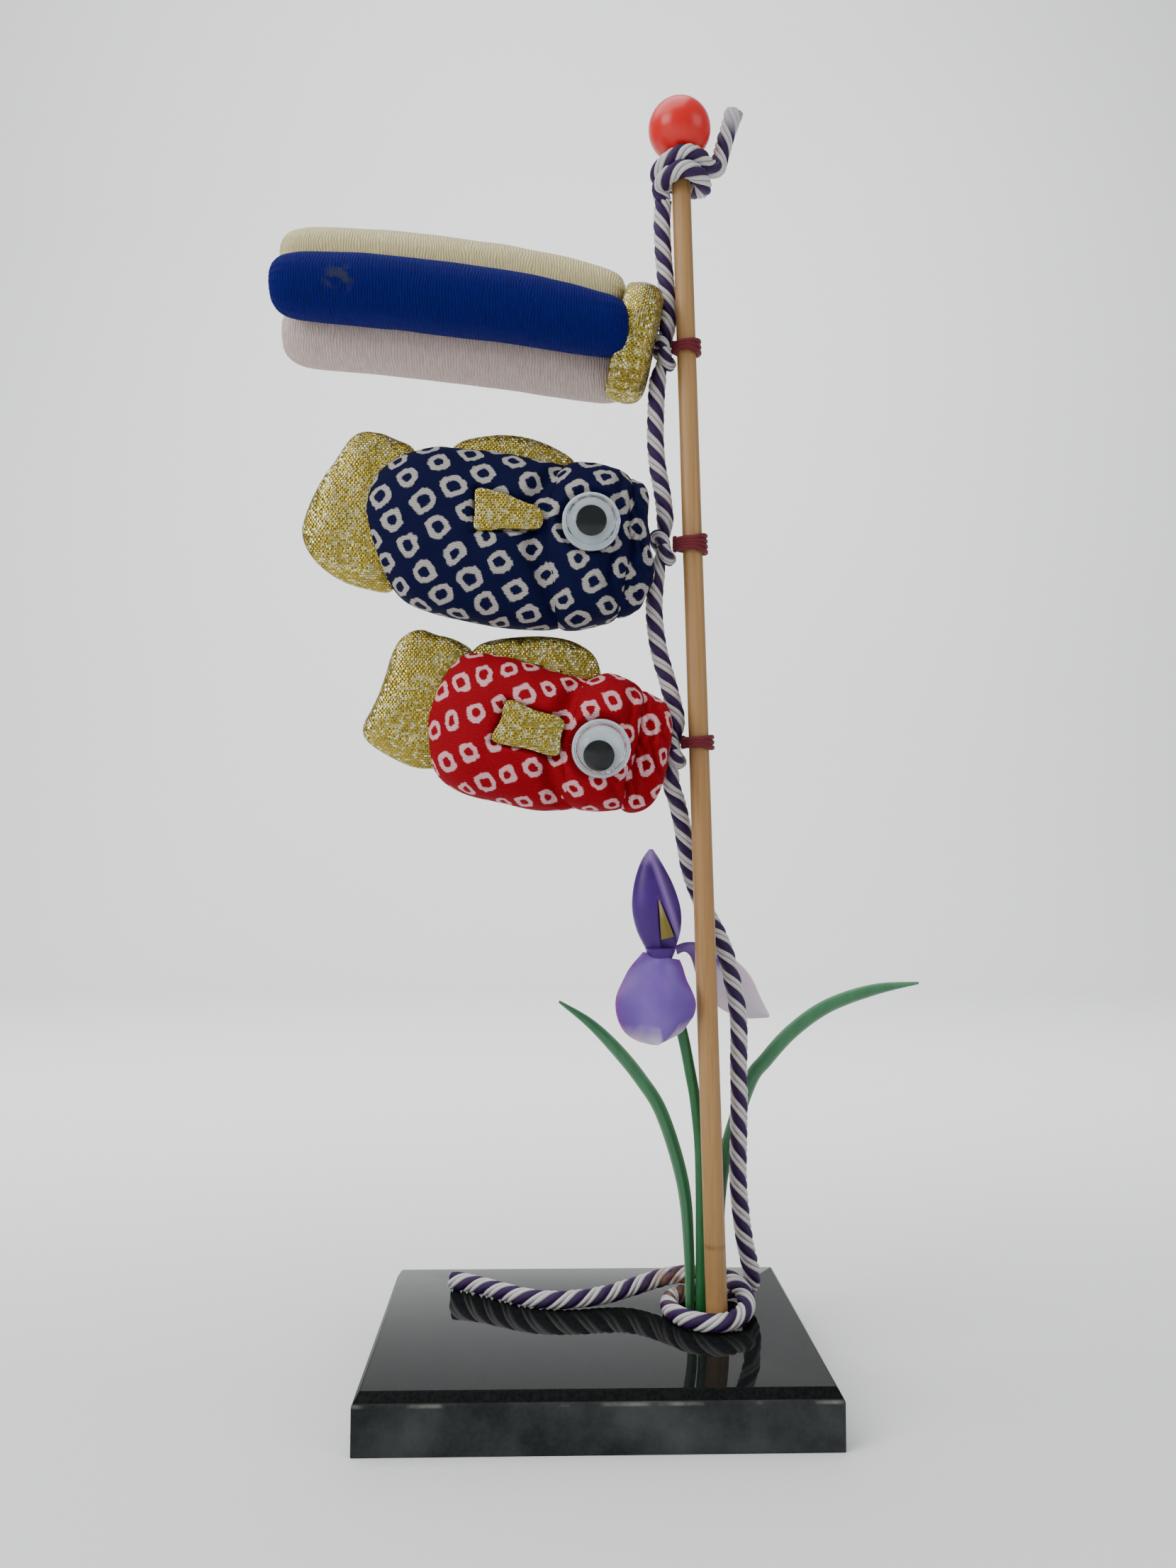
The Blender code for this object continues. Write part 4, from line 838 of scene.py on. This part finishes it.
def dyed_crepe(name, dark, light, ring, along, down, first, reach):
    """Crepe tie-dyed in a lattice of small rings, each with its own slightly squarish shape."""
    material, tree, shader = finish(name, Roughness=0.85, Specular_IOR_Level=0.1)
    cloth_map = add(tree, "UVMap", uv_map="UVMap").outputs[0]
    wobble = add(tree, "TexNoise", {"Vector": cloth_map, "Scale": 0.16, "Detail": 1.0})
    shaken = add(tree, "VectorMath", {0: wobble.outputs["Color"], 1: (2.2, 2.2, 0.0), 2: cloth_map},
                 operation="MULTIPLY_ADD").outputs["Vector"]
    spot = add(tree, "VectorMath", {0: shaken, 1: (first[0] + 1.1, first[1] + 1.1, 0.0)},
               operation="SUBTRACT").outputs["Vector"]
    area = along[0] * down[1] - along[1] * down[0]
    cells = []
    steps = []
    for across in ((down[1] / area, -down[0] / area, 0.0), (-along[1] / area, along[0] / area, 0.0)):
        share = add(tree, "VectorMath", {0: spot, 1: across},
                    operation="DOT_PRODUCT").outputs["Value"]
        shifted = maths(tree, "ADD", share, 0.5)
        cells.append(add(tree, "Math", {0: shifted}, operation="FLOOR").outputs[0])
        part = maths(tree, "FRACT", shifted)
        steps.append(add(tree, "Math", {0: part, 1: 0.5}, operation="SUBTRACT").outputs[0])
    cell = add(tree, "CombineXYZ", {0: cells[0], 1: cells[1]}).outputs[0]
    own = add(tree, "TexWhiteNoise", {"Vector": cell}, noise_dimensions="2D")
    first_step = add(tree, "VectorMath", {0: (*along, 0.0), "Scale": steps[0]},
                     operation="SCALE").outputs["Vector"]
    second_step = add(tree, "VectorMath", {0: (*down, 0.0), "Scale": steps[1]},
                      operation="SCALE").outputs["Vector"]
    offset = add(tree, "VectorMath", {0: first_step, 1: second_step},
                 operation="ADD").outputs["Vector"]
    round_gap = add(tree, "VectorMath", {0: offset}, operation="LENGTH").outputs["Value"]
    far_x = maths(tree, "ABSOLUTE", steps[0])
    far_y = maths(tree, "ABSOLUTE", steps[1])
    widest = maths(tree, "MAXIMUM", far_x, far_y)
    square_gap = maths(tree, "MULTIPLY", widest, 2.6)
    gap = maths(tree, "MULTIPLY_ADD", round_gap, 0.62, square_gap)
    ragged = noisy(tree, cloth_map, 1.1, 2.0)
    edge = maths(tree, "MULTIPLY_ADD", ragged, 0.9, gap)
    grown = maths(tree, "MULTIPLY_ADD", own.outputs["Value"], 0.3, edge)
    outside = ranged(tree, grown, reach[1] + 0.72, reach[1] + 0.5)
    inside = ranged(tree, grown, reach[0] + 0.42, reach[0] + 0.64)
    band = maths(tree, "MULTIPLY", outside, inside)
    # The weave: ridges 0.42 mm apart that run slantwise over each panel.
    turned = add(tree, "Mapping", {"Vector": cloth_map,
                                   "Rotation": (0.0, 0.0, math.radians(12))}).outputs[0]
    weave = add(tree, "TexWave", {"Vector": turned, "Scale": math.tau / 20 / 0.42,
                                  "Distortion": 2.2, "Detail": 2.0, "Detail Scale": 1.8},
                bands_direction="Y").outputs["Fac"]
    threads = noisy(tree, cloth_map, 3.2, 3.0, 0.7)
    ground = mixed(tree, threads, linear(dark), linear(light))
    mottled = maths(tree, "MULTIPLY_ADD", threads, 0.9, weave)
    broken = ranged(tree, mottled, 0.2, 1.1, 0.55, 1.0)
    undyed = maths(tree, "MULTIPLY", band, broken)
    cloth = mixed(tree, undyed, ground, linear(ring))
    tree.links.new(cloth, shader.inputs["Base Color"])
    relief = maths(tree, "MULTIPLY_ADD", threads, 0.6, weave)
    roughened(tree, shader, relief, 0.6, 0.00012)
    return material


carp_cloths = {
    "navy": dyed_crepe("navy_tie_dyed_crepe", "#040623", "#0A0F3C", "#AAA59F", (5.25, 2.82),
                       (2.72, -4.4), (-37.05, -4.58), (1.12, 2.08)),
    "red": dyed_crepe("red_tie_dyed_crepe", "#76030F", "#9C0A1B", "#D6A6AC", (4.1, 1.5),
                      (2.8, -5.35), (-36.68, -1.69), (0.95, 1.78)),
}


def edge_distance(x, z, outline):
    """How far a point is inside an outline, or, below zero, outside it."""
    inside = False
    nearest = 1e9
    for (ax, az), (bx, bz) in zip(outline, outline[1:] + outline[:1]):
        if (az > z) != (bz > z) and x < ax + (z - az) * (bx - ax) / (bz - az):
            inside = not inside
        length = (bx - ax) ** 2 + (bz - az) ** 2
        share = max(0.0, min(1.0, ((x - ax) * (bx - ax) + (z - az) * (bz - az)) / length))
        nearest = min(nearest, math.hypot(x - ax - share * (bx - ax), z - az - share * (bz - az)))
    return nearest if inside else -nearest


def smoothstep(low, high, value):
    share = max(0.0, min(1.0, (value - low) / (high - low)))
    return share * share * (3 - 2 * share)


def closed_outline(points, count):
    """Evenly spaced points round a smooth closed outline."""
    loop = [(x, z, 0.0) for x, z in points]
    line, _ = smooth_route(loop[-2:] + loop + loop[:3], 0.05)
    first = min(range(len(line) // 3), key=lambda i: (line[i] - Vector(loop[0])).length)
    last = min(range(len(line) // 2, len(line)), key=lambda i: (line[i] - Vector(loop[0])).length)
    span = last - first
    return [line[first + round(span * number / count)] for number in range(count)]


def stuffed(outline, thickness, middle_y, tie, fullness=2.4, around=144, along=64, dent=None,
            lumps=0.2, puckers=0.0):
    """A stuffed panel: both faces swell from the outline, and its cloth keeps its own scale."""
    ring = closed_outline(outline, around)
    centre = sum((Vector(point) for point in ring), Vector()) / around
    half = along // 2
    rounds = []
    for step in range(half + 1):
        angle = step / half * math.pi / 2
        rounds.append((math.sin(angle) ** (2 / fullness), max(0.0, math.cos(angle))
                       ** (2 / fullness)))
    arcs = []
    for point in ring:
        reach = (point - centre).length
        total = [0.0]
        for (s0, h0), (s1, h1) in zip(rounds, rounds[1:]):
            total.append(total[-1] + math.hypot((s1 - s0) * reach, (h1 - h0) * thickness / 2))
        arcs.append(total)

    def place(turn, run):
        spoke = ring[round(turn * around) % around] - centre
        level = round(run * along)
        step = half - abs(level - half)
        side = -1 if level < half else 1
        share, height = rounds[step]
        x, z = centre.x + spoke.x * share, centre.y + spoke.y * share
        seed = Vector((x * 0.21, z * 0.21, side * 3.0 + thickness))
        depth = thickness / 2 * height
        if 0 < step < half:
            pleats = math.sin(math.tau * turn * 31 + 5 * noise.noise(seed * 2))
            depth += puckers * pleats * share ** 8
        if step < half:
            depth += lumps * noise.noise(seed)
        if dent is not None:
            depth = dent(x, z, depth)
        if step == half:
            depth = 0.0
        return Vector(tie) + Vector((x, middle_y + side * depth, z))

    def cloth(turn, run):
        index = round(turn * around) % around
        level = round(run * along)
        step = half - abs(level - half)
        spoke = (ring[index] - centre).normalized() * arcs[index][step]
        if level <= half:
            return (centre.x + spoke.x, centre.y + spoke.y)
        return (centre.x + 2.1 + spoke.x, centre.y + 1.3 + spoke.y)

    return wrapped(around, along, place, cloth, capped=False)


for name, carp in CARPS.items():
    tie = carp["tie"]
    fin_outline = carp["pectoral"]
    eye_x, eye_z = carp["eye"]

    def fin_pocket(x, z, depth):
        """The body is pressed in round the pectoral fin and along the gill seam."""
        inside = edge_distance(x, z, fin_outline)
        pressed = smoothstep(-1.0, -0.1, inside)
        depth -= pressed * max(0.0, depth - (FIN_FACE - 0.7))
        from_gill = abs(edge_distance(x, z, carp["head"])) / 1.25
        return depth - min(depth * 0.3, 1.7 * math.exp(-from_gill ** 2))

    def eye_seat(x, z, depth):
        """The head is flat under the glued eye and drawn in where the mouth band starts."""
        away = math.hypot(x - eye_x, z - eye_z)
        pressed = 1 - smoothstep(EYE_REACH - 0.1, EYE_REACH + 1.0, away)
        depth += (min(depth, EYE_SEAT) - depth) * pressed
        from_mouth = abs(edge_distance(x, z, carp["mouth"])) / 0.9
        return depth - (1 - pressed) * min(depth * 0.3, 1.5 * math.exp(-from_mouth ** 2))

    def mouth_folds(x, z, depth):
        """The gathered mouth band lies in folds that run down it, broken here and there."""
        seed = Vector((x * 0.3, z * 0.5, depth * 0.1))
        fold = math.sin(2.9 * x + 0.5 * z + 3.2 * noise.noise(seed))
        return depth * (1 - 0.09 * (1 - fold) * smoothstep(0.0, 1.2, depth))

    panels = [
        ("body", "body", carp_cloths[name], CARP_THICKNESS, 2.5, 176, 84, fin_pocket, 0.35, 0.0),
        ("head", "head", carp_cloths[name], CARP_THICKNESS * 0.98, 2.6, 144, 72, eye_seat, 0.3,
         0.12),
        ("mouth", "mouth", carp_cloths[name], 11.2, 2.2, 144, 56, mouth_folds, 0.6, 0.3),
        ("tail", "tail", gold_lame, 6.0, 2.1, 144, 48, None, 0.35, 0.1),
        ("dorsal_fin", "dorsal", gold_lame, 4.0, 2.0, 120, 32, None, 0.15, 0.06),
    ]
    for node, shape, cloth, thickness, fullness, around, along, dent, lumps, puckers in panels:
        panel = finished(f"{name}_stuffed_{node}",
                         stuffed(carp[shape], thickness, CARP_PLANE, tie, fullness, around, along,
                                 dent, lumps, puckers), cloth, sharp=75)
        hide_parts(f"{name}_{node}")
        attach(panel, name + "_carp")
    for side, way in (("front", -1), ("back", 1)):
        fin = finished(f"{name}_folded_fin_{side}",
                       stuffed(fin_outline, 1.1, CARP_PLANE + way * FIN_FACE, tie, 5.0, 96, 24,
                               None, 0.12, 0.0), gold_lame, sharp=50)
        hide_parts(f"{name}_pectoral_fin_{side}")
        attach(fin, name + "_carp")


# Eyes: bought loose-pupil eyes, glued on. Each is a vacuum-formed clear dome with a flat rim,
# heat-sealed to a white plastic cup, and a loose black disc lies inside.
CUP_FOOT = 6.3
DOME_FOOT = 7.4
PUPIL_RADIUS = 2.65
PUPIL_FOOT = 7.7
PUPIL_THICKNESS = 0.5
CUP_PROFILE = [(0.0, 0.0), (4.86, 0.0), (5.0, 0.14), (5.0, 0.66), (4.86, 0.8), (4.5, 0.8),
               (4.36, 0.66), (4.2, 0.6), (0.0, 0.6)]
DOME_PROFILE = [(0.0, 3.5), (1.4, 3.42), (2.7, 3.12), (3.6, 2.55), (4.15, 1.8), (4.36, 1.0),
                (4.42, 0.55), (4.6, 0.42), (4.9, 0.4), (5.0, 0.3), (5.0, 0.1), (4.9, 0.0),
                (4.2, 0.0), (4.08, 0.12), (4.0, 0.95), (3.82, 1.66), (3.34, 2.32), (2.52, 2.84),
                (1.3, 3.12), (0.0, 3.2)]

cup_plastic, tree, shader = finish("white_polystyrene_cup", IOR=1.58, Roughness=0.3,
                                   Subsurface_Weight=0.15)
place = add(tree, "TexCoord").outputs["Object"]
cloudy = noisy(tree, place, 260.0, 2.0)
milk = mixed(tree, cloudy, "#C9D0D5", "#E4E9EC")
tree.links.new(milk, shader.inputs["Base Color"])

dome_plastic, tree, shader = finish("clear_formed_dome", IOR=1.22, Roughness=0.02,
                                    Transmission_Weight=1.0)
place = add(tree, "TexCoord").outputs["Object"]
ripple = noisy(tree, place, 140.0, 1.0)
tint = mixed(tree, ripple, "#F6FAFC", "#FFFFFF")
tree.links.new(tint, shader.inputs["Base Color"])
roughened(tree, shader, ripple, 0.25, 0.0003)

pupil_plastic, tree, shader = finish("black_punched_disc", Roughness=0.5, Specular_IOR_Level=0.25)
place = add(tree, "TexCoord").outputs["Object"]
scuffs = noisy(tree, place, 700.0, 3.0)
black = mixed(tree, scuffs, "#080909", "#161818")
tree.links.new(black, shader.inputs["Base Color"])


def turned(profile, middle, way, segments=64):
    """A shape spun about the eye's axis, which points to the front or the back."""
    data = bmesh.new()
    verts = [data.verts.new((radius * MM, 0.0, height * MM)) for radius, height in profile]
    edges = [data.edges.new(pair) for pair in zip(verts, verts[1:])]
    if profile[0][0] > 0:
        edges.append(data.edges.new((verts[-1], verts[0])))
    bmesh.ops.spin(data, geom=verts + edges, cent=(0, 0, 0), axis=(0, 0, 1), angle=math.tau,
                   steps=segments, use_merge=True)
    bmesh.ops.remove_doubles(data, verts=data.verts, dist=0.000005)
    bmesh.ops.rotate(data, cent=(0, 0, 0), matrix=Matrix.Rotation(-way * math.pi / 2, 3, "X"),
                     verts=data.verts)
    bmesh.ops.translate(data, vec=Vector(middle) * MM, verts=data.verts)
    bmesh.ops.recalc_face_normals(data, faces=data.faces)
    return data


pupil_edge = 0.08
pupil_profile = [(0.0, PUPIL_THICKNESS), (PUPIL_RADIUS - pupil_edge, PUPIL_THICKNESS),
                 (PUPIL_RADIUS, PUPIL_THICKNESS - pupil_edge), (PUPIL_RADIUS, pupil_edge),
                 (PUPIL_RADIUS - pupil_edge, 0.0), (0.0, 0.0)]
for name, carp in CARPS.items():
    for side, way in (("front", -1), ("back", 1)):
        x, z = carp["eye"]
        for part, profile, foot, offset, plastic, slot, body in (
                ("cup", CUP_PROFILE, CUP_FOOT, (0.0, 0.0), cup_plastic, "eye_white", "carp"),
                ("dome", DOME_PROFILE, DOME_FOOT, (0.0, 0.0), dome_plastic, "eye_clear", "carp"),
                ("pupil", pupil_profile, PUPIL_FOOT, carp["pupil"], pupil_plastic, "pupil",
                 f"pupil_{side}_disc")):
            middle = Vector(carp["tie"]) + Vector((x + offset[0], CARP_PLANE + way * foot,
                                                   z + offset[1]))
            piece = finished(f"{name}_eye_{part}_{side}", turned(profile, middle, way), plastic,
                             sharp=35)
            node = f"{name}_pupil_{side}" if part == "pupil" else f"{name}_eye_{part}_{side}"
            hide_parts(node)
            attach(piece, f"{name}_{body}")


# Iris: a plastic flower moulded in parts that plug together. The stem and two strap leaves are
# green polythene, pushed into a hole in the slab; the standard, cup and petals are dyed vinyl.
IRIS_STEM = [
    (19.3, 2.2, 5.7), (19.3, 2.2, 19.6), (19.2, 1.9, 36.0),
    (18.3, 1.0, 46.0), (17.0, -0.2, 53.0), (15.7, -1.2, 59.0), (13.9, -2.2, 65.5),
    (12.3, -2.9, 70.4)]
IRIS_LEAVES = {
    "left": [
    (17.3, 2.4, 9.4, 1.5), (17.2, 2.6, 20.0, 1.9), (16.2, 3.4, 32.0, 2.3), (12.6, 4.0, 44.0, 2.4),
    (8.6, 4.3, 50.5, 2.4), (4.0, 4.5, 56.0, 2.3), (-0.7, 4.6, 60.5, 1.7), (-6.1, 4.7, 64.2, 0.5)],
    "right": [
    (22.2, 3.2, 9.4, 1.8), (22.3, 3.4, 20.0, 2.2), (23.6, 5.6, 34.0, 2.6), (28.4, 6.6, 48.6, 2.7),
    (31.9, 6.8, 53.5, 2.7), (37.0, 7.0, 58.8, 2.7), (43.5, 7.0, 63.2, 2.6),
    (52.0, 7.0, 66.1, 2.1), (60.2, 7.0, 67.3, 0.5)]}
IRIS_SIDE_PETAL = [
    (14.6, -0.6, 73.8, 1.6), (16.6, 1.7, 74.2, 1.8), (19.0, 5.4, 73.2, 3.4),
    (22.0, 8.0, 70.4, 7.0), (25.4, 8.8, 66.6, 8.6), (28.8, 9.0, 63.4, 6.2),
    (32.8, 9.0, 61.0, 0.6)]
# The standard's left side, right side and height, from its foot to its tip.
IRIS_STANDARD = [(8.9, 14.3, 74.4), (7.4, 15.2, 77.5), (6.6, 15.2, 81.2), (6.9, 13.9, 85.4),
                 (8.1, 11.8, 89.4), (9.6, 10.3, 91.7)]
IRIS_CUP = [(0.9, -1.5), (1.8, -1.0), (2.3, -0.1), (2.6, 0.8), (2.5, 1.2), (0.0, 1.3)]


def spread(points, steps):
    """Rows of values on a smooth curve through the given rows, one more than steps."""
    rows = []
    for step in range(steps + 1):
        index = min(step * (len(points) - 1) // steps, len(points) - 2)
        t = step * (len(points) - 1) / steps - index
        near = (points[max(index - 1, 0)], points[index], points[index + 1],
                points[min(index + 2, len(points) - 1)])
        rows.append([0.5 * (2 * b + (c - a) * t + (2 * a - 5 * b + 4 * c - d) * t ** 2
                            + (3 * b - a - 3 * c + d) * t ** 3) for a, b, c, d in zip(*near)])
    return rows


def blade(points, thickness, steps, keel=0.0, cup=0.0, dyed=1.0):
    """A thin moulded strap along (x, y, z, width) points, level across, with rounded edges."""
    rows = spread(points, steps)
    line = [Vector(row[:3]) for row in rows]
    sides = [(line[min(i + 1, steps)] - line[max(i - 1, 0)]).cross(Vector((0, 1, 0))).normalized()
             for i in range(steps + 1)]

    def place(turn, run):
        index = round(run * steps)
        angle = math.tau * turn
        across = math.cos(angle)
        width = max(0.05, rows[index][3])
        thick = thickness * (1 - 0.55 * abs(across)) * min(1.0, width)
        depth = math.sin(angle) * thick / 2 + keel * (1 - abs(across)) - cup * across ** 2
        return line[index] + sides[index] * across * width / 2 - Vector((0.0, depth, 0.0))

    return wrapped(32, steps, place, lambda turn, run: (math.cos(math.tau * turn), run / dyed))


green_polythene, tree, shader = finish("moulded_green_polythene", IOR=1.5, Roughness=0.42,
                                       Subsurface_Weight=0.12, Subsurface_Scale=0.001)
place = add(tree, "TexCoord").outputs["Object"]
drawn_out = add(tree, "Mapping", {"Vector": place, "Scale": (1.0, 1.0, 0.12)}).outputs[0]
flow = noisy(tree, drawn_out, 600.0, 2.0)
split = add(tree, "SeparateXYZ", {0: add(tree, "UVMap", uv_map="UVMap").outputs[0]})
rim = maths(tree, "ABSOLUTE", split.outputs["X"])
thin = ranged(tree, rim, 0.55, 1.0, 0.0, 0.6)
leaf = mixed(tree, flow, "#275C39", "#3F7A51")
edged = mixed(tree, thin, leaf, "#7FA58A")
tree.links.new(edged, shader.inputs["Base Color"])
stem_green, tree, shader = finish("moulded_green_stem", Roughness=0.4)
place = add(tree, "TexCoord").outputs["Object"]
flow = noisy(tree, place, 300.0, 2.0)
tone = mixed(tree, flow, "#145228", "#226B38")
tree.links.new(tone, shader.inputs["Base Color"])

stem_steps = 72
stem_line = [Vector(row) for row in spread(IRIS_STEM, stem_steps)]
stem_frames = cross_frames(stem_line)


def on_stem(turn, run):
    index = round(run * stem_steps)
    across, other = stem_frames[index]
    radius = 1.0 + 0.04 * noise.noise(Vector((0.0, 3.0, run * 9)))
    angle = math.tau * turn
    return stem_line[index] + (across * math.cos(angle) + other * math.sin(angle)) * radius


stem = finished("moulded_iris_stem", wrapped(20, stem_steps, on_stem), stem_green)
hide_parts("iris_stem")
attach(stem, "stand")
for name, points in IRIS_LEAVES.items():
    leaf = finished(f"moulded_{name}_leaf", blade(points, 0.8, 90, keel=0.18), green_polythene,
                    sharp=60)
    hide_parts("iris_leaf_" + name)
    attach(leaf, "stand")

# Violet vinyl: deep at the foot and sides, paler along the fold and at the tip.
violet_vinyl, tree, shader = finish("dyed_violet_vinyl", Specular_IOR_Level=0.3, Roughness=0.4,
                                    Subsurface_Weight=0.1, Subsurface_Scale=0.0008)
place = add(tree, "TexCoord").outputs["Object"]
split = add(tree, "SeparateXYZ", {0: place})
dyes = noisy(tree, place, 260.0, 3.0)
body = mixed(tree, dyes, "#2E0C54", "#4A1F7C")
# The fold runs from the tip down to the right, 0.33 mm aside for each millimetre.
fall = maths(tree, "MULTIPLY", split.outputs["Z"], 0.33)
beside = maths(tree, "ADD", split.outputs["X"], fall)
from_fold = maths(tree, "SUBTRACT", beside, 40.0 * MM)
fold_gap = maths(tree, "ABSOLUTE", from_fold)
on_fold = ranged(tree, fold_gap, 0.9 * MM, 0.1 * MM, 0.0, 0.62)
up_top = ranged(tree, split.outputs["Z"], 88.6 * MM, 91.0 * MM, 0.0, 0.8)
pale = maths(tree, "MAXIMUM", on_fold, up_top)
above_cup = maths(tree, "GREATER_THAN", split.outputs["Z"], 75.6 * MM)
faded = maths(tree, "MULTIPLY", pale, above_cup)
violet = mixed(tree, faded, body, "#8F74B0")
tree.links.new(violet, shader.inputs["Base Color"])
standard_steps = 80
standard_rows = spread(IRIS_STANDARD, standard_steps)


def on_standard(turn, run):
    """An upright spindle, its right lobe folded out beside an open slit at the front."""
    low, high, z = standard_rows[round(run * standard_steps)]
    middle, half = (low + high) / 2, (high - low) / 2
    angle = math.tau * turn
    depth = 2.55 * (half / 4.3) ** 0.7
    x = middle + half * math.cos(angle)
    y = -3.0 - depth * math.sin(angle)
    if math.sin(angle) > 0:
        slit_middle = 11.0 + (83.5 - z) * 0.25
        slit_half = max(0.0, (83.5 - z) * 0.17)
        sunk = smoothstep(slit_half + 0.35, slit_half - 0.15, abs(x - slit_middle))
        fold = math.exp(-((x - 40.0 + 0.33 * z) / 0.55) ** 2)
        y += (1.0 * sunk * smoothstep(0.0, 0.3, slit_half) - 0.3 * fold) * math.sin(angle)
    return Vector((x, y, z))


standard = finished("vinyl_standard_petal", wrapped(144, standard_steps, on_standard),
                    violet_vinyl, sharp=70)
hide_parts("iris_standard_petal")
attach(standard, "stand")
cup_line = spread(IRIS_CUP, 40)


def on_cup(turn, run):
    radius, rise = cup_line[round(run * 40)]
    radius *= 1 + 0.05 * math.cos(3 * math.tau * turn)
    angle = math.tau * turn
    return (11.5 + radius * math.cos(angle), -3.2 + radius * math.sin(angle), 73.2 + rise)


cup = finished("vinyl_cup", wrapped(48, 40, on_cup), violet_vinyl)
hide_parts("iris_cup")
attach(cup, "stand")

yellow_vinyl, tree, shader = finish("dyed_yellow_vinyl", Roughness=0.45)
place = add(tree, "TexCoord").outputs["Object"]
height = add(tree, "SeparateXYZ", {0: place}).outputs["Z"]
up = ranged(tree, height, 79.5 * MM, 83.0 * MM)
yellow = mixed(tree, up, "#6B5C0C", "#A3966C")
tree.links.new(yellow, shader.inputs["Base Color"])
throat = finished("vinyl_throat",
                  blade([(11.1, -5.0, 83.2, 0.15), (11.6, -5.35, 81.0, 0.8),
                         (12.1, -5.4, 78.8, 1.55), (12.7, -5.1, 76.2, 2.3)], 0.7, 30, keel=0.1),
                  yellow_vinyl)
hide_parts("iris_throat")
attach(throat, "stand")

# The hanging petals are thin enough to let light through, and the dye fades out at their edges.
lavender_vinyl, tree, shader = finish("thin_lavender_vinyl", IOR=1.48, Roughness=0.42,
                                      Subsurface_Weight=0.3, Subsurface_Scale=0.0012)
place = add(tree, "TexCoord").outputs["Object"]
split = add(tree, "SeparateXYZ", {0: add(tree, "UVMap", uv_map="UVMap").outputs[0]})
dyes = noisy(tree, place, 240.0, 3.0)
rim = maths(tree, "ABSOLUTE", split.outputs["X"])
side_dye = ranged(tree, rim, 0.3, 0.95, 0.0, 0.85)
middle = mixed(tree, dyes, "#5F3C98", "#7E60B2")
sides = mixed(tree, side_dye, middle, "#431D84")
ragged = maths(tree, "MULTIPLY_ADD", dyes, 0.16, split.outputs["Y"])
thinned = maths(tree, "MULTIPLY_ADD", rim, 0.08, ragged)
# One drop of dye has run down to the lower right edge.
from_drop = maths(tree, "SUBTRACT", split.outputs["X"], 0.36)
drop_gap = maths(tree, "ABSOLUTE", from_drop)
drop = ranged(tree, drop_gap, 0.3, 0.05, 0.0, 0.2)
held_back = maths(tree, "SUBTRACT", thinned, drop)
faded = ranged(tree, held_back, 0.72, 0.98, 0.0, 0.95)
petal = mixed(tree, faded, sides, "#D2CEDA")
tree.links.new(petal, shader.inputs["Base Color"])
fall_petal = finished("vinyl_fall_petal",
                      blade([(11.8, -4.6, 73.0, 6.6), (11.5, -5.6, 71.6, 8.4),
                             (10.9, -6.6, 68.8, 11.4), (10.6, -7.0, 65.4, 14.0),
                             (10.6, -6.9, 62.2, 13.0), (10.9, -6.5, 59.6, 9.2),
                             (11.1, -6.2, 58.3, 4.2), (11.2, -6.1, 58.0, 0.2)],
                            0.9, 60, cup=1.6), lavender_vinyl, sharp=60)
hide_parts("iris_fall_petal")
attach(fall_petal, "stand")
side_petal = finished("vinyl_side_petal", blade(IRIS_SIDE_PETAL, 0.9, 60, keel=0.2, dyed=0.62),
                      lavender_vinyl, sharp=60)
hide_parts("iris_side_petal")
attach(side_petal, "stand")
